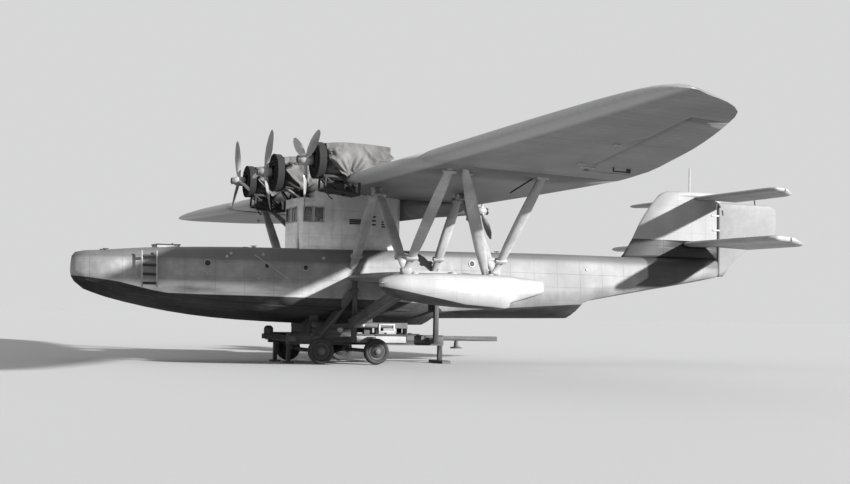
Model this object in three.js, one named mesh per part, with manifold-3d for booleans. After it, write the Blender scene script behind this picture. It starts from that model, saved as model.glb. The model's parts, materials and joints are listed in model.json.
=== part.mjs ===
// Four-engined flying boat with a parasol wing, parked on its beaching trolley.
// All sizes are those of the full-size aircraft, in metres: x is 0 at the bow and negative aft,
// +y is to port and z is measured up from the ground. The group's scale makes the 1:2 model, in mm.
import * as THREE from 'three';
import { mergeVertices } from 'three/addons/utils/BufferGeometryUtils.js';
import Module from 'manifold-3d';

const wasm = await Module();
wasm.setup();

// Driving dimensions
const MODEL_SCALE = 0.5;
const MM_PER_M = 1000;
const LENGTH = 26.0;
const HALF_SPAN = 21.5;
const GAP = 0.0012;
const DEG = Math.PI / 180;

const FRONT_SPAR_X = -8.63;
const REAR_SPAR_X = -11.45;
const PANEL_JOINT_Y = 9.9;
const FLOAT_Y = 6.02;
const INNER_STRUT_Y = 3.45;
const OUTER_STRUT_Y = 9.4;
const SIDE_ENGINE_Y = 3.9;
const HUB_Z = { side: 6.16, centre: 6.12, rear: 5.22 };
const PROP_X = { side: -6.2, centre: -6.05, rear: -13.76 };
const PROP_RADIUS = { front: 1.5, rear: 1.3 };
const FAIRING_FRONT_X = -7.6;

// Finishes
const COLOURS = {
  hull: [0xa9adb0, 0.45, 0.6],
  wing: [0xb9bcbd, 0.6, 0.15],
  black: [0x17181a, 0.6, 0.1],
  strut: [0x55585b, 0.5, 0.3],
  engine: [0x2c2d2f, 0.5, 0.7],
  cover: [0xa59f92, 0.95, 0.0],
  blade: [0x8d9092, 0.35, 0.9],
  glass: [0x2a3238, 0.1, 0.0],
  trolley: [0x3b3c3b, 0.75, 0.3],
  tyre: [0x1b1b1b, 0.9, 0.0],
  wood: [0x8f8266, 0.85, 0.0],
};

const model = new THREE.Group();
model.scale.setScalar(MODEL_SCALE * MM_PER_M);
model.position.x = (LENGTH / 2) * MODEL_SCALE * MM_PER_M;

function finish(name) {
  const [color, roughness, metalness] = COLOURS[name];
  return new THREE.MeshStandardMaterial({ color, roughness, metalness });
}

// Solids and booleans

function toManifold(geometry) {
  const bare = geometry.clone();
  bare.deleteAttribute('normal');
  bare.deleteAttribute('uv');
  const merged = mergeVertices(bare, 1e-5);
  const vertProperties = new Float32Array(merged.attributes.position.array);
  const triVerts = new Uint32Array(merged.index.array);
  return new wasm.Manifold(new wasm.Mesh({ numProp: 3, vertProperties, triVerts }));
}

function toGeometry(manifold) {
  const mesh = manifold.getMesh();
  const geometry = new THREE.BufferGeometry();
  geometry.setAttribute('position', new THREE.BufferAttribute(new Float32Array(mesh.vertProperties), 3));
  geometry.setIndex(new THREE.BufferAttribute(new Uint32Array(mesh.triVerts), 1));
  geometry.computeVertexNormals();
  return geometry;
}

function addPart(name, finishName, solid) {
  const geometry = solid.isBufferGeometry ? solid : toGeometry(solid);
  const mesh = new THREE.Mesh(geometry, finish(finishName));
  mesh.name = name;
  model.add(mesh);
}

function union(solids) {
  return solids.reduce((sum, solid) => sum.add(solid));
}

// A closed loft through rings of equal length. Every ring is a list of THREE.Vector3. The second half of
// a ring is split the other way, so that a section which is the same on both sides gives such a solid.
function loft(rings) {
  const count = rings[0].length;
  const position = [];
  rings.forEach((ring) => ring.forEach((p) => position.push(p.x, p.y, p.z)));
  const index = [];
  for (let r = 0; r + 1 < rings.length; r += 1) {
    for (let i = 0; i < count; i += 1) {
      const j = (i + 1) % count;
      const a = r * count + i;
      const b = r * count + j;
      if (i < count / 2) index.push(a, b, b + count, a, b + count, a + count);
      else index.push(a, b, a + count, b, b + count, a + count);
    }
  }
  const capStart = [0, rings.length - 1];
  capStart.forEach((ringNumber, end) => {
    const ring = rings[ringNumber];
    const centre = ring.reduce((sum, p) => sum.add(p), new THREE.Vector3()).divideScalar(count);
    const middle = position.length / 3;
    position.push(centre.x, centre.y, centre.z);
    for (let i = 0; i < count; i += 1) {
      const a = ringNumber * count + i;
      const b = ringNumber * count + ((i + 1) % count);
      if (end === 0) index.push(middle, b, a);
      else index.push(middle, a, b);
    }
  });
  const geometry = new THREE.BufferGeometry();
  geometry.setAttribute('position', new THREE.Float32BufferAttribute(position, 3));
  geometry.setIndex(volumeOf(position, index) < 0 ? turned(index) : index);
  return toManifold(geometry);
}

function volumeOf(position, index) {
  const corner = (i) => new THREE.Vector3().fromArray(position, 3 * i);
  let volume = 0;
  for (let t = 0; t < index.length; t += 3) {
    volume += corner(index[t]).dot(corner(index[t + 1]).cross(corner(index[t + 2])));
  }
  return volume / 6;
}

function turned(index) {
  const result = [];
  for (let t = 0; t < index.length; t += 3) result.push(index[t], index[t + 2], index[t + 1]);
  return result;
}

// Adds rows between those of a table, on a smooth curve through them. No row is added across a step, where
// the first column changes by less than the given distance.
function refined(rows, between, stepWidth = 0) {
  const isStep = (i) => Math.abs(rows[i + 1][0] - rows[i][0]) < stepWidth;
  const result = [];
  rows.forEach((row, i) => {
    result.push(row);
    if (i + 1 === rows.length || isStep(i)) return;
    const next = rows[i + 1];
    const before = i > 0 && !isStep(i - 1) ? rows[i - 1] : row.map((value, k) => 2 * value - next[k]);
    const after = i + 2 < rows.length && !isStep(i + 1)
      ? rows[i + 2] : next.map((value, k) => 2 * value - row[k]);
    for (let n = 1; n <= between; n += 1) {
      const t = n / (between + 1);
      result.push(row.map((value, k) => {
        const straight = value + (next[k] - value) * t;
        const bend = (before[k] - 2 * value + next[k]) * (1 - t) + (value - 2 * next[k] + after[k]) * t;
        return straight - (bend * t * (1 - t)) / 2;
      }));
    }
  });
  return result;
}

// Moves the corners of a closed outline outwards by a distance, for the clearance round a neighbour.
function grow(outline, distance) {
  const area = outline.reduce((sum, [a, b], i) => {
    const [c, d] = outline[(i + 1) % outline.length];
    return sum + a * d - c * b;
  }, 0);
  const side = area > 0 ? 1 : -1;
  return outline.map(([a, b], i) => {
    const [pa, pb] = outline[(i + outline.length - 1) % outline.length];
    const [na, nb] = outline[(i + 1) % outline.length];
    const run = new THREE.Vector2(na - pa, nb - pb).normalize();
    return [a + side * distance * run.y, b - side * distance * run.x];
  });
}

function box(xFrom, xTo, yFrom, yTo, zFrom, zTo) {
  const geometry = new THREE.BoxGeometry(Math.abs(xTo - xFrom), Math.abs(yTo - yFrom), Math.abs(zTo - zFrom));
  geometry.translate((xFrom + xTo) / 2, (yFrom + yTo) / 2, (zFrom + zTo) / 2);
  return toManifold(geometry);
}

// A round bar from one point to another.
function bar(from, to, radius, sides = 10) {
  const start = new THREE.Vector3(...from);
  const run = new THREE.Vector3(...to).sub(start);
  const geometry = new THREE.CylinderGeometry(radius, radius, run.length(), sides);
  geometry.translate(0, run.length() / 2, 0);
  const up = new THREE.Vector3(0, 1, 0);
  geometry.applyQuaternion(new THREE.Quaternion().setFromUnitVectors(up, run.clone().normalize()));
  geometry.translate(start.x, start.y, start.z);
  return toManifold(geometry);
}

// A beam of rectangular section from one point to another, its width kept level.
function beam(from, to, width, depth) {
  const start = new THREE.Vector3(...from);
  const end = new THREE.Vector3(...to);
  const along = end.clone().sub(start).normalize();
  const guide = Math.abs(along.z) > 0.9 ? new THREE.Vector3(1, 0, 0) : new THREE.Vector3(0, 0, 1);
  const side = along.clone().cross(guide).normalize().multiplyScalar(width / 2);
  const rise = side.clone().cross(along).normalize().multiplyScalar(depth / 2);
  const ring = (p) => [[1, 1], [1, -1], [-1, -1], [-1, 1]].map(([s, t]) => (
    p.clone().addScaledVector(side, s).addScaledVector(rise, t)));
  return loft([ring(start), ring(end)]);
}

// A streamlined strut: its chord lies fore and aft, blunt end forward, and it tapers towards both ends.
const STRUT_OUTLINE = [
  [0.5, 0], [0.44, 0.3], [0.25, 0.5], [0, 0.46], [-0.25, 0.28], [-0.5, 0.04],
  [-0.5, -0.04], [-0.25, -0.28], [0, -0.46], [0.25, -0.5], [0.44, -0.3],
];

// Columns: place along the strut, its size there as a share of the middle's.
const STRUT_TAPER = [[0, 0.5], [0.1, 0.68], [0.28, 0.93], [0.5, 1], [0.72, 0.93], [0.9, 0.68], [1, 0.5]];

function strut(from, to, chord, thickness) {
  const start = new THREE.Vector3(...from);
  const end = new THREE.Vector3(...to);
  const along = end.clone().sub(start).normalize();
  const across = new THREE.Vector3(1, 0, 0).cross(along).normalize();
  const forward = along.clone().cross(across).normalize();
  if (forward.x < 0) forward.negate();
  return loft(STRUT_TAPER.map(([share, size]) => {
    const middle = start.clone().lerp(end, share);
    return STRUT_OUTLINE.map(([c, t]) => middle.clone()
      .addScaledVector(forward, c * chord * size)
      .addScaledVector(across, t * thickness * size));
  }));
}

function mirrored(solid) {
  return solid.mirror([0, 1, 0]);
}

function withMirror(solid) {
  return solid.add(mirrored(solid));
}

// Hull

// Columns: x, keel z, chine z, chine half-beam, deck edge z, deck half-beam.
const HULL_STATIONS = [
  [0.0, 2.7, 2.77, 0.07, 2.86, 0.06],
  [-0.03, 2.57, 2.68, 0.17, 3.08, 0.15],
  [-0.12, 2.43, 2.61, 0.3, 3.2, 0.26],
  [-0.4, 2.21, 2.48, 0.56, 3.26, 0.48],
  [-1.07, 1.98, 2.32, 0.92, 3.31, 0.8],
  [-2.3, 1.7, 2.11, 1.26, 3.42, 1.1],
  [-3.7, 1.48, 1.96, 1.45, 3.49, 1.27],
  [-5.2, 1.35, 1.85, 1.52, 3.54, 1.33],
  [-7.3, 1.27, 1.78, 1.53, 3.57, 1.35],
  [-9.5, 1.26, 1.76, 1.53, 3.61, 1.35],
  [-11.6, 1.28, 1.75, 1.51, 3.64, 1.34],
  [-11.64, 1.5, 1.8, 1.5, 3.64, 1.34],
  [-13.7, 1.54, 1.88, 1.42, 3.67, 1.25],
  [-15.6, 1.57, 2.0, 1.28, 3.7, 1.13],
  [-17.08, 1.6, 2.1, 1.16, 3.71, 1.02],
  [-17.22, 1.96, 2.2, 1.14, 3.71, 1.01],
  [-17.6, 2.16, 2.3, 1.1, 3.71, 0.98],
  [-18.9, 2.4, 2.54, 0.95, 3.71, 0.85],
  [-20.4, 2.67, 2.8, 0.75, 3.72, 0.67],
  [-21.9, 2.93, 3.05, 0.5, 3.75, 0.44],
  [-23.3, 3.2, 3.3, 0.2, 3.78, 0.17],
];
const HULL_ROWS = refined(HULL_STATIONS, 1, 0.5);
const DECK_CROWN = 0.13;

// Half outline of a hull section from the keel round to the middle of the deck, as [y, z].
function hullHalf([, keelZ, chineZ, beamHalf, deckZ, deckHalf]) {
  const shoulder = Math.min(0.26, deckHalf * 0.5);
  const side = deckHalf + (beamHalf - deckHalf) * 0.2;
  const edge = [75, 45, 15].map((angle) => [
    side - shoulder * (1 - Math.sin(angle * DEG)),
    deckZ - shoulder * 0.8 + shoulder * Math.cos(angle * DEG),
  ]);
  return [
    [0, keelZ],
    [beamHalf * 0.3, keelZ + (chineZ - keelZ) * 0.2],
    [beamHalf * 0.65, keelZ + (chineZ - keelZ) * 0.52],
    [beamHalf, chineZ],
    [beamHalf * 0.995, chineZ + (deckZ - chineZ) * 0.3],
    [beamHalf + (side - beamHalf) * 0.6, chineZ + (deckZ - chineZ) * 0.6],
    ...edge,
    [deckHalf * 0.45, deckZ + DECK_CROWN * 0.8],
    [0, deckZ + DECK_CROWN],
  ];
}

function hullSolid(clearance = 0) {
  const rings = HULL_ROWS.map((station) => {
    const half = hullHalf(station);
    const otherHalf = half.slice(1, -1).reverse().map(([y, z]) => [-y, z]);
    const outline = grow([...half, ...otherHalf], clearance);
    return outline.map(([y, z]) => new THREE.Vector3(station[0], y, z));
  });
  return loft(rings);
}

// Wing

// Chordwise share, then the upper and lower surfaces as shares of the thickness.
const AEROFOIL = [
  [0, 0, 0], [0.006, 0.15, -0.07], [0.025, 0.3, -0.11], [0.07, 0.5, -0.13], [0.15, 0.74, -0.14],
  [0.28, 0.94, -0.13], [0.42, 0.97, -0.11], [0.6, 0.8, -0.08], [0.8, 0.45, -0.05], [1, 0.03, -0.03],
];

// Columns: y, leading edge x, leading edge z, trailing edge x, trailing edge z, thickness.
const WING_STATIONS = [
  [0, -7.42, 5.6, -13.38, 5.41, 0.62],
  [2.6, -7.42, 5.61, -13.38, 5.41, 0.62],
  [5.2, -7.42, 5.62, -13.38, 5.41, 0.62],
  [7.6, -7.44, 5.65, -13.37, 5.42, 0.61],
  [PANEL_JOINT_Y, -7.46, 5.69, -13.36, 5.44, 0.6],
  [12.0, -7.49, 5.73, -13.03, 5.48, 0.59],
  [14.0, -7.53, 5.77, -12.42, 5.53, 0.57],
  [16.0, -7.56, 5.81, -11.76, 5.58, 0.53],
  [17.8, -7.6, 5.85, -11.08, 5.64, 0.47],
  [19.2, -7.63, 5.88, -10.5, 5.7, 0.39],
  [20.2, -7.67, 5.9, -10.02, 5.76, 0.3],
  [20.9, -7.75, 5.9, -9.3, 5.8, 0.2],
  [21.3, -7.88, 5.89, -8.6, 5.83, 0.1],
  [HALF_SPAN, -8.05, 5.88, -8.25, 5.86, 0.04],
];

const INNER_WING_ROWS = 4;
const WING_ROWS = [
  ...WING_STATIONS.slice(0, INNER_WING_ROWS),
  ...refined(WING_STATIONS.slice(INNER_WING_ROWS), 1),
];

function wingStationAt(y) {
  const above = Math.max(1, WING_ROWS.findIndex((station) => station[0] >= y - 1e-9));
  const low = WING_ROWS[above - 1];
  const high = WING_ROWS[above];
  const share = (y - low[0]) / (high[0] - low[0]);
  return low.map((value, i) => value + (high[i] - value) * share);
}

function wingOutline([, leX, leZ, teX, teZ, thickness]) {
  const point = (share, offset) => [
    leX + (teX - leX) * share,
    leZ + (teZ - leZ) * share + offset * thickness,
  ];
  const upper = AEROFOIL.map(([share, top]) => point(share, top));
  const lower = AEROFOIL.slice(1).reverse().map(([share, , bottom]) => point(share, bottom));
  return [...upper, ...lower];
}

// A stretch of the port wing between two spanwise places.
function wingSolid(yFrom, yTo, clearance = 0) {
  const between = WING_ROWS.map((station) => station[0]).filter((y) => y > yFrom && y < yTo);
  const places = [yFrom, ...between, yTo];
  const rings = places.map((y) => {
    const outline = grow(wingOutline(wingStationAt(y)), clearance);
    return outline.map(([x, z]) => new THREE.Vector3(x, y, z));
  });
  return loft(rings);
}

// Ailerons swing on a straight hinge line between their inner and outer ends.
const AILERON = {
  innerY: 11.2, innerHingeX: -11.74, innerHingeZ: 5.6,
  outerY: 19.2, outerHingeX: -9.72, outerHingeZ: 5.79,
  gap: 0.03, edge: 0.012,
};
const AILERON_RIBS = [
  AILERON.innerY,
  ...WING_ROWS.map(([y]) => y).filter((y) => y > AILERON.innerY + 0.1 && y < AILERON.outerY - 0.1),
  AILERON.outerY,
];
const NOSE_ANGLES = [90, 60, 30, 0, -30, -60, -90];

// The surfaces of the wing section at y, at a place x along its chord, as upper z and lower z.
function surfacesAt(y, x) {
  const [, leX, leZ, teX, teZ, thickness] = wingStationAt(y);
  const share = (x - leX) / (teX - leX);
  const after = AEROFOIL.findIndex(([along]) => along >= share);
  const [shareA, topA, bottomA] = AEROFOIL[after - 1];
  const [shareB, topB, bottomB] = AEROFOIL[after];
  const mix = (share - shareA) / (shareB - shareA);
  const middle = leZ + (teZ - leZ) * share;
  return [
    middle + (topA + (topB - topA) * mix) * thickness,
    middle + (bottomA + (bottomB - bottomA) * mix) * thickness,
  ];
}

// The hinge's place at y, with the heights of the wing above and below it.
function aileronHinge(y) {
  const share = (y - AILERON.innerY) / (AILERON.outerY - AILERON.innerY);
  const x = AILERON.innerHingeX + (AILERON.outerHingeX - AILERON.innerHingeX) * share;
  const z = AILERON.innerHingeZ + (AILERON.outerHingeZ - AILERON.innerHingeZ) * share;
  const [top, bottom] = surfacesAt(y, x);
  const [, , , teX, teZ] = wingStationAt(y);
  return { x, z, above: top - z, below: z - bottom, nose: (top - bottom) / 2, teX, teZ };
}

function aileronSolid() {
  return loft(AILERON_RIBS.map((y) => {
    const { x, z, above, below, nose, teX, teZ } = aileronHinge(y);
    const ring = NOSE_ANGLES.map((angle) => {
      const rise = Math.sin(angle * DEG) * (angle > 0 ? above : below);
      return new THREE.Vector3(x + nose * Math.cos(angle * DEG), y, z + rise);
    });
    ring.push(new THREE.Vector3(teX, y, teZ - AILERON.edge));
    ring.push(new THREE.Vector3(teX, y, teZ + AILERON.edge));
    return ring;
  }));
}

// The bay that an aileron swings in.
function aileronBay() {
  const { innerY, outerY, gap } = AILERON;
  const ends = { [innerY]: -gap, [outerY]: gap };
  return loft(AILERON_RIBS.map((y) => {
    const { x, z, nose, teX } = aileronHinge(y);
    const front = x + nose + gap;
    const back = teX - 0.5;
    return [[front, 0.8], [front, -0.8], [back, -0.8], [back, 0.8]].map(([cornerX, rise]) => (
      new THREE.Vector3(cornerX, y + (ends[y] ?? 0), z + rise)));
  }));
}

// Float and stub wing, port side

// Columns: x, keel z, chine z, chine half-beam, top z, top half-beam.
const FLOAT_STATIONS = [
  [-7.84, 2.39, 2.45, 0.06, 2.58, 0.05],
  [-8.05, 2.21, 2.36, 0.24, 2.68, 0.2],
  [-8.6, 2.03, 2.27, 0.43, 2.77, 0.36],
  [-9.6, 1.9, 2.09, 0.54, 2.82, 0.44],
  [-10.6, 1.84, 1.97, 0.56, 2.82, 0.45],
  [-11.7, 1.81, 1.9, 0.54, 2.8, 0.43],
  [-11.74, 1.96, 2.04, 0.53, 2.8, 0.43],
  [-12.4, 2.12, 2.22, 0.38, 2.74, 0.3],
  [-13.05, 2.32, 2.4, 0.1, 2.66, 0.08],
];

const FLOAT_ROWS = refined(FLOAT_STATIONS, 1, 0.1);

function floatSolid(clearance = 0) {
  const rings = FLOAT_ROWS.map(([x, keelZ, chineZ, beamHalf, topZ, topHalf]) => {
    const half = [
      [0, keelZ],
      [beamHalf, chineZ],
      [beamHalf * 0.98, chineZ + (topZ - chineZ) * 0.45],
      [topHalf * 1.02, topZ - 0.14],
      [topHalf * 0.93, topZ - 0.06],
      [topHalf * 0.72, topZ - 0.01],
      [0, topZ + 0.03],
    ];
    const otherHalf = half.slice(1, -1).reverse().map(([y, z]) => [-y, z]);
    const outline = grow([...half, ...otherHalf], clearance);
    return outline.map(([y, z]) => new THREE.Vector3(x, FLOAT_Y + y, z));
  });
  return loft(rings);
}

// Columns: y, leading edge x, trailing edge x, middle z, thickness.
const STUB_STATIONS = [
  [1.2, -8.45, -12.25, 2.74, 0.36],
  [3.6, -8.5, -12.15, 2.77, 0.31],
  [5.9, -8.55, -12.05, 2.77, 0.24],
];
const STUB_OUTLINE = [
  [0, 0], [0.02, 0.22], [0.09, 0.4], [0.28, 0.52], [0.6, 0.38], [1, 0.03],
  [1, -0.03], [0.6, -0.3], [0.28, -0.42], [0.09, -0.36], [0.02, -0.2],
];

function stubSolid(clearance = 0) {
  return loft(STUB_STATIONS.map(([y, leX, teX, z, thickness]) => {
    const outline = STUB_OUTLINE.map(([share, offset]) => (
      [leX + (teX - leX) * share, z + offset * thickness]));
    return grow(outline, clearance).map(([x, height]) => new THREE.Vector3(x, y, height));
  }));
}

// Tail

const TAIL_LOWER = {
  z: 4.4, leX: -21.86, hingeX: -23.0, teX: -24.05, halfSpan: 5.5, thickness: 0.2, noseGap: 0.12,
  tipBackY: 5.0, innerFrontY: 0.42, innerBackY: 1.02,
};
const TAIL_UPPER = {
  z: 6.11, leX: -22.34, hingeX: -23.12, teX: -23.84, halfSpan: 4.84, thickness: 0.14, noseGap: 0.09,
  tipBackY: 4.48, innerFrontY: 0.14, innerBackY: 0.48,
};
const ELEVATOR_DROOP = 9;
const RUDDER_HINGE_X = -23.46;

// A fixed tailplane as a whole from tip to tip, without its elevators. Each tip is widest near the
// leading edge and is cut back towards the elevator.
// Columns: place along the half-span, how far the front is swept back as a share of the chord.
const TAILPLANE_TIP = [[0, 0], [0.8, 0], [0.93, 0.03], [0.98, 0.14], [1, 0.34]];

function tailplaneSolid(plane, clearance = 0) {
  const { z, leX, hingeX, halfSpan, thickness, noseGap, tipBackY } = plane;
  const back = hingeX + noseGap;
  return withMirror(loft(TAILPLANE_TIP.map(([share, sweep]) => {
    const front = leX + (back - leX) * sweep;
    const depth = thickness * (1 - 0.8 * sweep);
    const ring = grow([
      [front, 0], [front - 0.05, 0.28], [front - 0.25 * (front - back), 0.5], [back, 0.46],
      [back, -0.46], [front - 0.25 * (front - back), -0.5], [front - 0.05, -0.28],
    ].map(([x, rise]) => [x, z + rise * depth]), clearance);
    return ring.map(([x, height]) => {
      const aft = Math.min(1, Math.max(0, (leX - x) / (leX - back)));
      return new THREE.Vector3(x, share * (halfSpan + (tipBackY - halfSpan) * aft), height);
    });
  })));
}

// One elevator to port of the fin, its inner end cut away for the rudder, drooped by its own weight.
// Columns: place along the span, chord share, how far the back edge stands inboard of the front.
const ELEVATOR_ROWS = [[0, 1, 0], [0.5, 1, 0], [0.8, 0.98, 0.1], [0.93, 0.84, 0.22], [1, 0.55, 0.3]];

function elevatorSolid(plane) {
  const { z, hingeX, teX, tipBackY, thickness, innerFrontY, innerBackY } = plane;
  const radius = thickness * 0.46;
  const rings = ELEVATOR_ROWS.map(([share, chordShare, rake], i) => {
    const front = innerFrontY + (tipBackY - innerFrontY) * share;
    const back = i === 0 ? innerBackY : front - rake;
    const tail = hingeX + (teX - hingeX) * chordShare;
    const size = radius * (i === ELEVATOR_ROWS.length - 1 ? 0.7 : 1);
    const ring = NOSE_ANGLES.map((angle) => new THREE.Vector3(
      hingeX + size * Math.cos(angle * DEG), front, z + size * Math.sin(angle * DEG)));
    ring.push(new THREE.Vector3(tail, back, z - 0.012));
    ring.push(new THREE.Vector3(tail, back, z + 0.012));
    return ring;
  });
  return turnedAbout(loft(rings), [hingeX, 0, z], [0, 1, 0], -ELEVATOR_DROOP);
}

// Turns a solid about an axis through a point, in degrees by the right-hand rule.
function turnedAbout(solid, point, axis, degrees) {
  const matrix = new THREE.Matrix4().makeTranslation(...point)
    .multiply(new THREE.Matrix4().makeRotationAxis(new THREE.Vector3(...axis), degrees * DEG))
    .multiply(new THREE.Matrix4().makeTranslation(...point.map((value) => -value)));
  return solid.transform(matrix.elements);
}

// Fin and rudder outlines from their bases up, as [z, front x, back x, thickness].
const FIN_LEVELS = [
  [3.7, -19.15, -23.3, 0.26],
  [3.95, -19.39, -23.3, 0.26],
  [4.51, -19.75, -23.3, 0.25],
  [5.08, -20.04, -23.3, 0.24],
  [5.6, -20.39, -23.3, 0.22],
  [6.0, -20.71, -23.3, 0.2],
  [6.2, -20.94, -23.3, 0.17],
  [6.32, -21.25, -23.3, 0.12],
];

function finSolid() {
  return loft(refined(FIN_LEVELS, 1).map(([z, frontX, backX, thickness]) => {
    const chord = frontX - backX;
    return [
      [frontX, 0], [frontX - 0.06, 0.35], [frontX - 0.3 * chord, 0.5], [backX, 0.4],
      [backX, -0.4], [frontX - 0.3 * chord, -0.5], [frontX - 0.06, -0.35],
    ].map(([x, share]) => new THREE.Vector3(x, share * thickness, z));
  }));
}

// Columns: z, trailing edge x, nose radius.
const RUDDER_LEVELS = [
  [3.24, -23.62, 0.08],
  [3.5, -23.86, 0.09],
  [3.72, -24.02, 0.09],
  [4.1, -24.5, 0.09],
  [4.5, -25.2, 0.09],
  [4.86, -25.86, 0.09],
  [5.1, -25.987, 0.09],
  [5.72, -25.987, 0.08],
  [5.88, -25.9, 0.07],
  [5.98, -25.55, 0.06],
];

function rudderSolid() {
  return loft(refined(RUDDER_LEVELS, 1).map(([z, teX, radius]) => {
    const ring = NOSE_ANGLES.map((angle) => new THREE.Vector3(
      RUDDER_HINGE_X + radius * Math.cos(angle * DEG), radius * Math.sin(angle * DEG), z));
    ring.push(new THREE.Vector3(teX, -0.012, z));
    ring.push(new THREE.Vector3(teX, 0.012, z));
    return ring;
  }));
}

// Propellers

// Columns: radius, chord, thickness, blade angle in degrees from the disc, for a radius of 1.5.
const BLADE_STATIONS = [
  [0.1, 0.12, 0.11, 62],
  [0.26, 0.14, 0.1, 58],
  [0.5, 0.22, 0.07, 46],
  [0.85, 0.28, 0.045, 34],
  [1.2, 0.24, 0.03, 27],
  [1.42, 0.15, 0.02, 24],
  [1.5, 0.05, 0.012, 23],
];
const BLADE_OUTLINE = [
  [0.5, 0], [0.3, 0.42], [0, 0.5], [-0.3, 0.3], [-0.5, 0], [-0.3, -0.3], [0, -0.5], [0.3, -0.42],
];

// A three-bladed propeller about the x axis through the origin, its first blade at an angle from +y.
function propellerSolid(firstAngle, facing) {
  const blade = loft(BLADE_STATIONS.map(([radius, chord, thickness, angle]) => (
    BLADE_OUTLINE.map(([c, t]) => {
      const cos = Math.cos(angle * DEG);
      const sin = Math.sin(angle * DEG);
      return new THREE.Vector3(
        facing * (c * chord * sin + t * thickness * cos),
        radius,
        c * chord * cos - t * thickness * sin,
      );
    }))));
  const profile = [[0, -0.2], [0.15, -0.2], [0.17, -0.05], [0.17, 0.08], [0.11, 0.2], [0, 0.27]];
  const hub = new THREE.LatheGeometry(profile.map(([r, x]) => new THREE.Vector2(r, x)), 16);
  hub.rotateZ(-Math.PI / 2);
  if (facing < 0) hub.rotateY(Math.PI);
  const blades = [0, 120, 240].map((angle) => (
    turnedAbout(blade, [0, 0, 0], [1, 0, 0], firstAngle + angle)));
  return union([toManifold(hub), ...blades]);
}

function placed(solid, x, y, z) {
  return solid.translate([x, y, z]);
}

// Engines: a vee of two banks over a crankcase, with the sump below, as one block.
function engineSolid(y, frontX, backX, crankZ) {
  const outline = [
    [0.2, -0.58], [0.3, -0.3], [0.34, -0.02], [0.43, 0.24], [0.22, 0.34], [0.1, 0.12],
    [-0.1, 0.12], [-0.22, 0.34], [-0.43, 0.24], [-0.34, -0.02], [-0.3, -0.3], [-0.2, -0.58],
  ];
  const ring = (x) => outline.map(([side, rise]) => new THREE.Vector3(x, y + side, crankZ + rise));
  const block = loft([ring(frontX), ring(backX)]);
  return block.add(bar([frontX + 0.02, y, crankZ + 0.05], [frontX - 0.2, y, crankZ + 0.05], 0.24, 12));
}

// Radiator: a shallow drum behind the propeller, open round the propeller shaft.
function radiatorSolid(y, frontX, z, radius) {
  const drum = bar([frontX, y, z], [frontX - 0.16, y, z], radius, 20);
  const lip = bar([frontX - 0.15, y, z], [frontX - 0.24, y, z], radius * 0.96, 20);
  const shaft = bar([frontX + 1, y, z], [frontX - 1, y, z], 0.26, 16);
  return drum.add(lip).subtract(shaft);
}

// Engine cover: a tarpaulin over an engine, as an arch open below and at both ends.
// Columns: place aft of the front edge, top z, half-width at the top, half-width below, bottom z.
const COVER_STATIONS = [
  [0, 0.52, 0.3, 0.66, -0.5],
  [0.5, 0.57, 0.36, 0.7, -0.52],
  [1.3, 0.56, 0.36, 0.7, -0.3],
  [2.05, 0.52, 0.32, 0.66, 0.02],
];
const COVER_THICKNESS = 0.05;

function coverSolid(y, frontX, crankZ) {
  const ring = ([aft, top, topHalf, lowHalf, bottom], inset) => {
    const roof = crankZ + top - inset;
    const foot = crankZ + bottom - (inset ? 0.4 : 0);
    const side = lowHalf - inset;
    const shoulder = topHalf - inset * 0.4;
    const x = frontX - aft;
    return [
      [side, foot], [side, crankZ + 0.1 * top], [side - 0.06, crankZ + 0.5 * top], [shoulder, roof - 0.1],
      [shoulder * 0.55, roof], [-shoulder * 0.55, roof], [-shoulder, roof - 0.1],
      [-side + 0.06, crankZ + 0.5 * top], [-side, crankZ + 0.1 * top], [-side, foot],
    ].map(([across, z]) => new THREE.Vector3(x, y + across, z));
  };
  const outer = loft(COVER_STATIONS.map((station) => ring(station, 0)));
  const innerRows = COVER_STATIONS.map((station) => [...station]);
  innerRows[0][0] -= 0.1;
  innerRows[innerRows.length - 1][0] += 0.1;
  return outer.subtract(loft(innerRows.map((station) => ring(station, COVER_THICKNESS))));
}

// Nacelle fairing on top of the wing behind an engine, part of the wing.
function fairingSolid(y, crankZ) {
  const rows = [[-7.35, 0.3, 0.36], [-8.0, 0.3, 0.34], [-8.5, 0.24, 0.3], [-9.4, -0.1, 0.1]];
  return loft(rows.map(([x, rise, half]) => (
    [
      [half, -0.5], [half, rise * 0.5], [half * 0.6, rise],
      [-half * 0.6, rise], [-half, rise * 0.5], [-half, -0.5],
    ].map(([across, dz]) => new THREE.Vector3(x, y + across, crankZ + dz)))));
}

// Cockpit tower

const TOWER = {
  frontX: -6.97, wingX: -7.5, backX: -10.7, halfWidth: 0.88, footZ: 3.6, topZ: 5.2, wall: 0.06,
  sillZ: 4.55, headZ: 5.0,
};

function towerOutline(inset) {
  const { frontX, backX, halfWidth } = TOWER;
  const half = [
    [frontX, 0.66], [frontX - 0.05, 0.8], [frontX - 0.14, halfWidth], [-9.4, halfWidth],
    [-10.1, halfWidth * 0.8], [-10.5, halfWidth * 0.45], [backX, 0.12],
  ];
  const outline = [...half, ...half.slice().reverse().map(([x, y]) => [x, -y])];
  return grow(outline, -inset);
}

function towerPrism(inset, zFrom, zTo) {
  const ring = (z) => towerOutline(inset).map(([x, y]) => new THREE.Vector3(x, y, z));
  return loft([ring(zFrom), ring(zTo)]);
}

// Side windows as [front x, back x], and front windows as [y from, y to].
const SIDE_WINDOWS = [[-7.12, -7.4], [-7.48, -7.78]];
const FRONT_WINDOWS = [[0.06, 0.62], [-0.62, -0.06]];

// Beaching trolley

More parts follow.
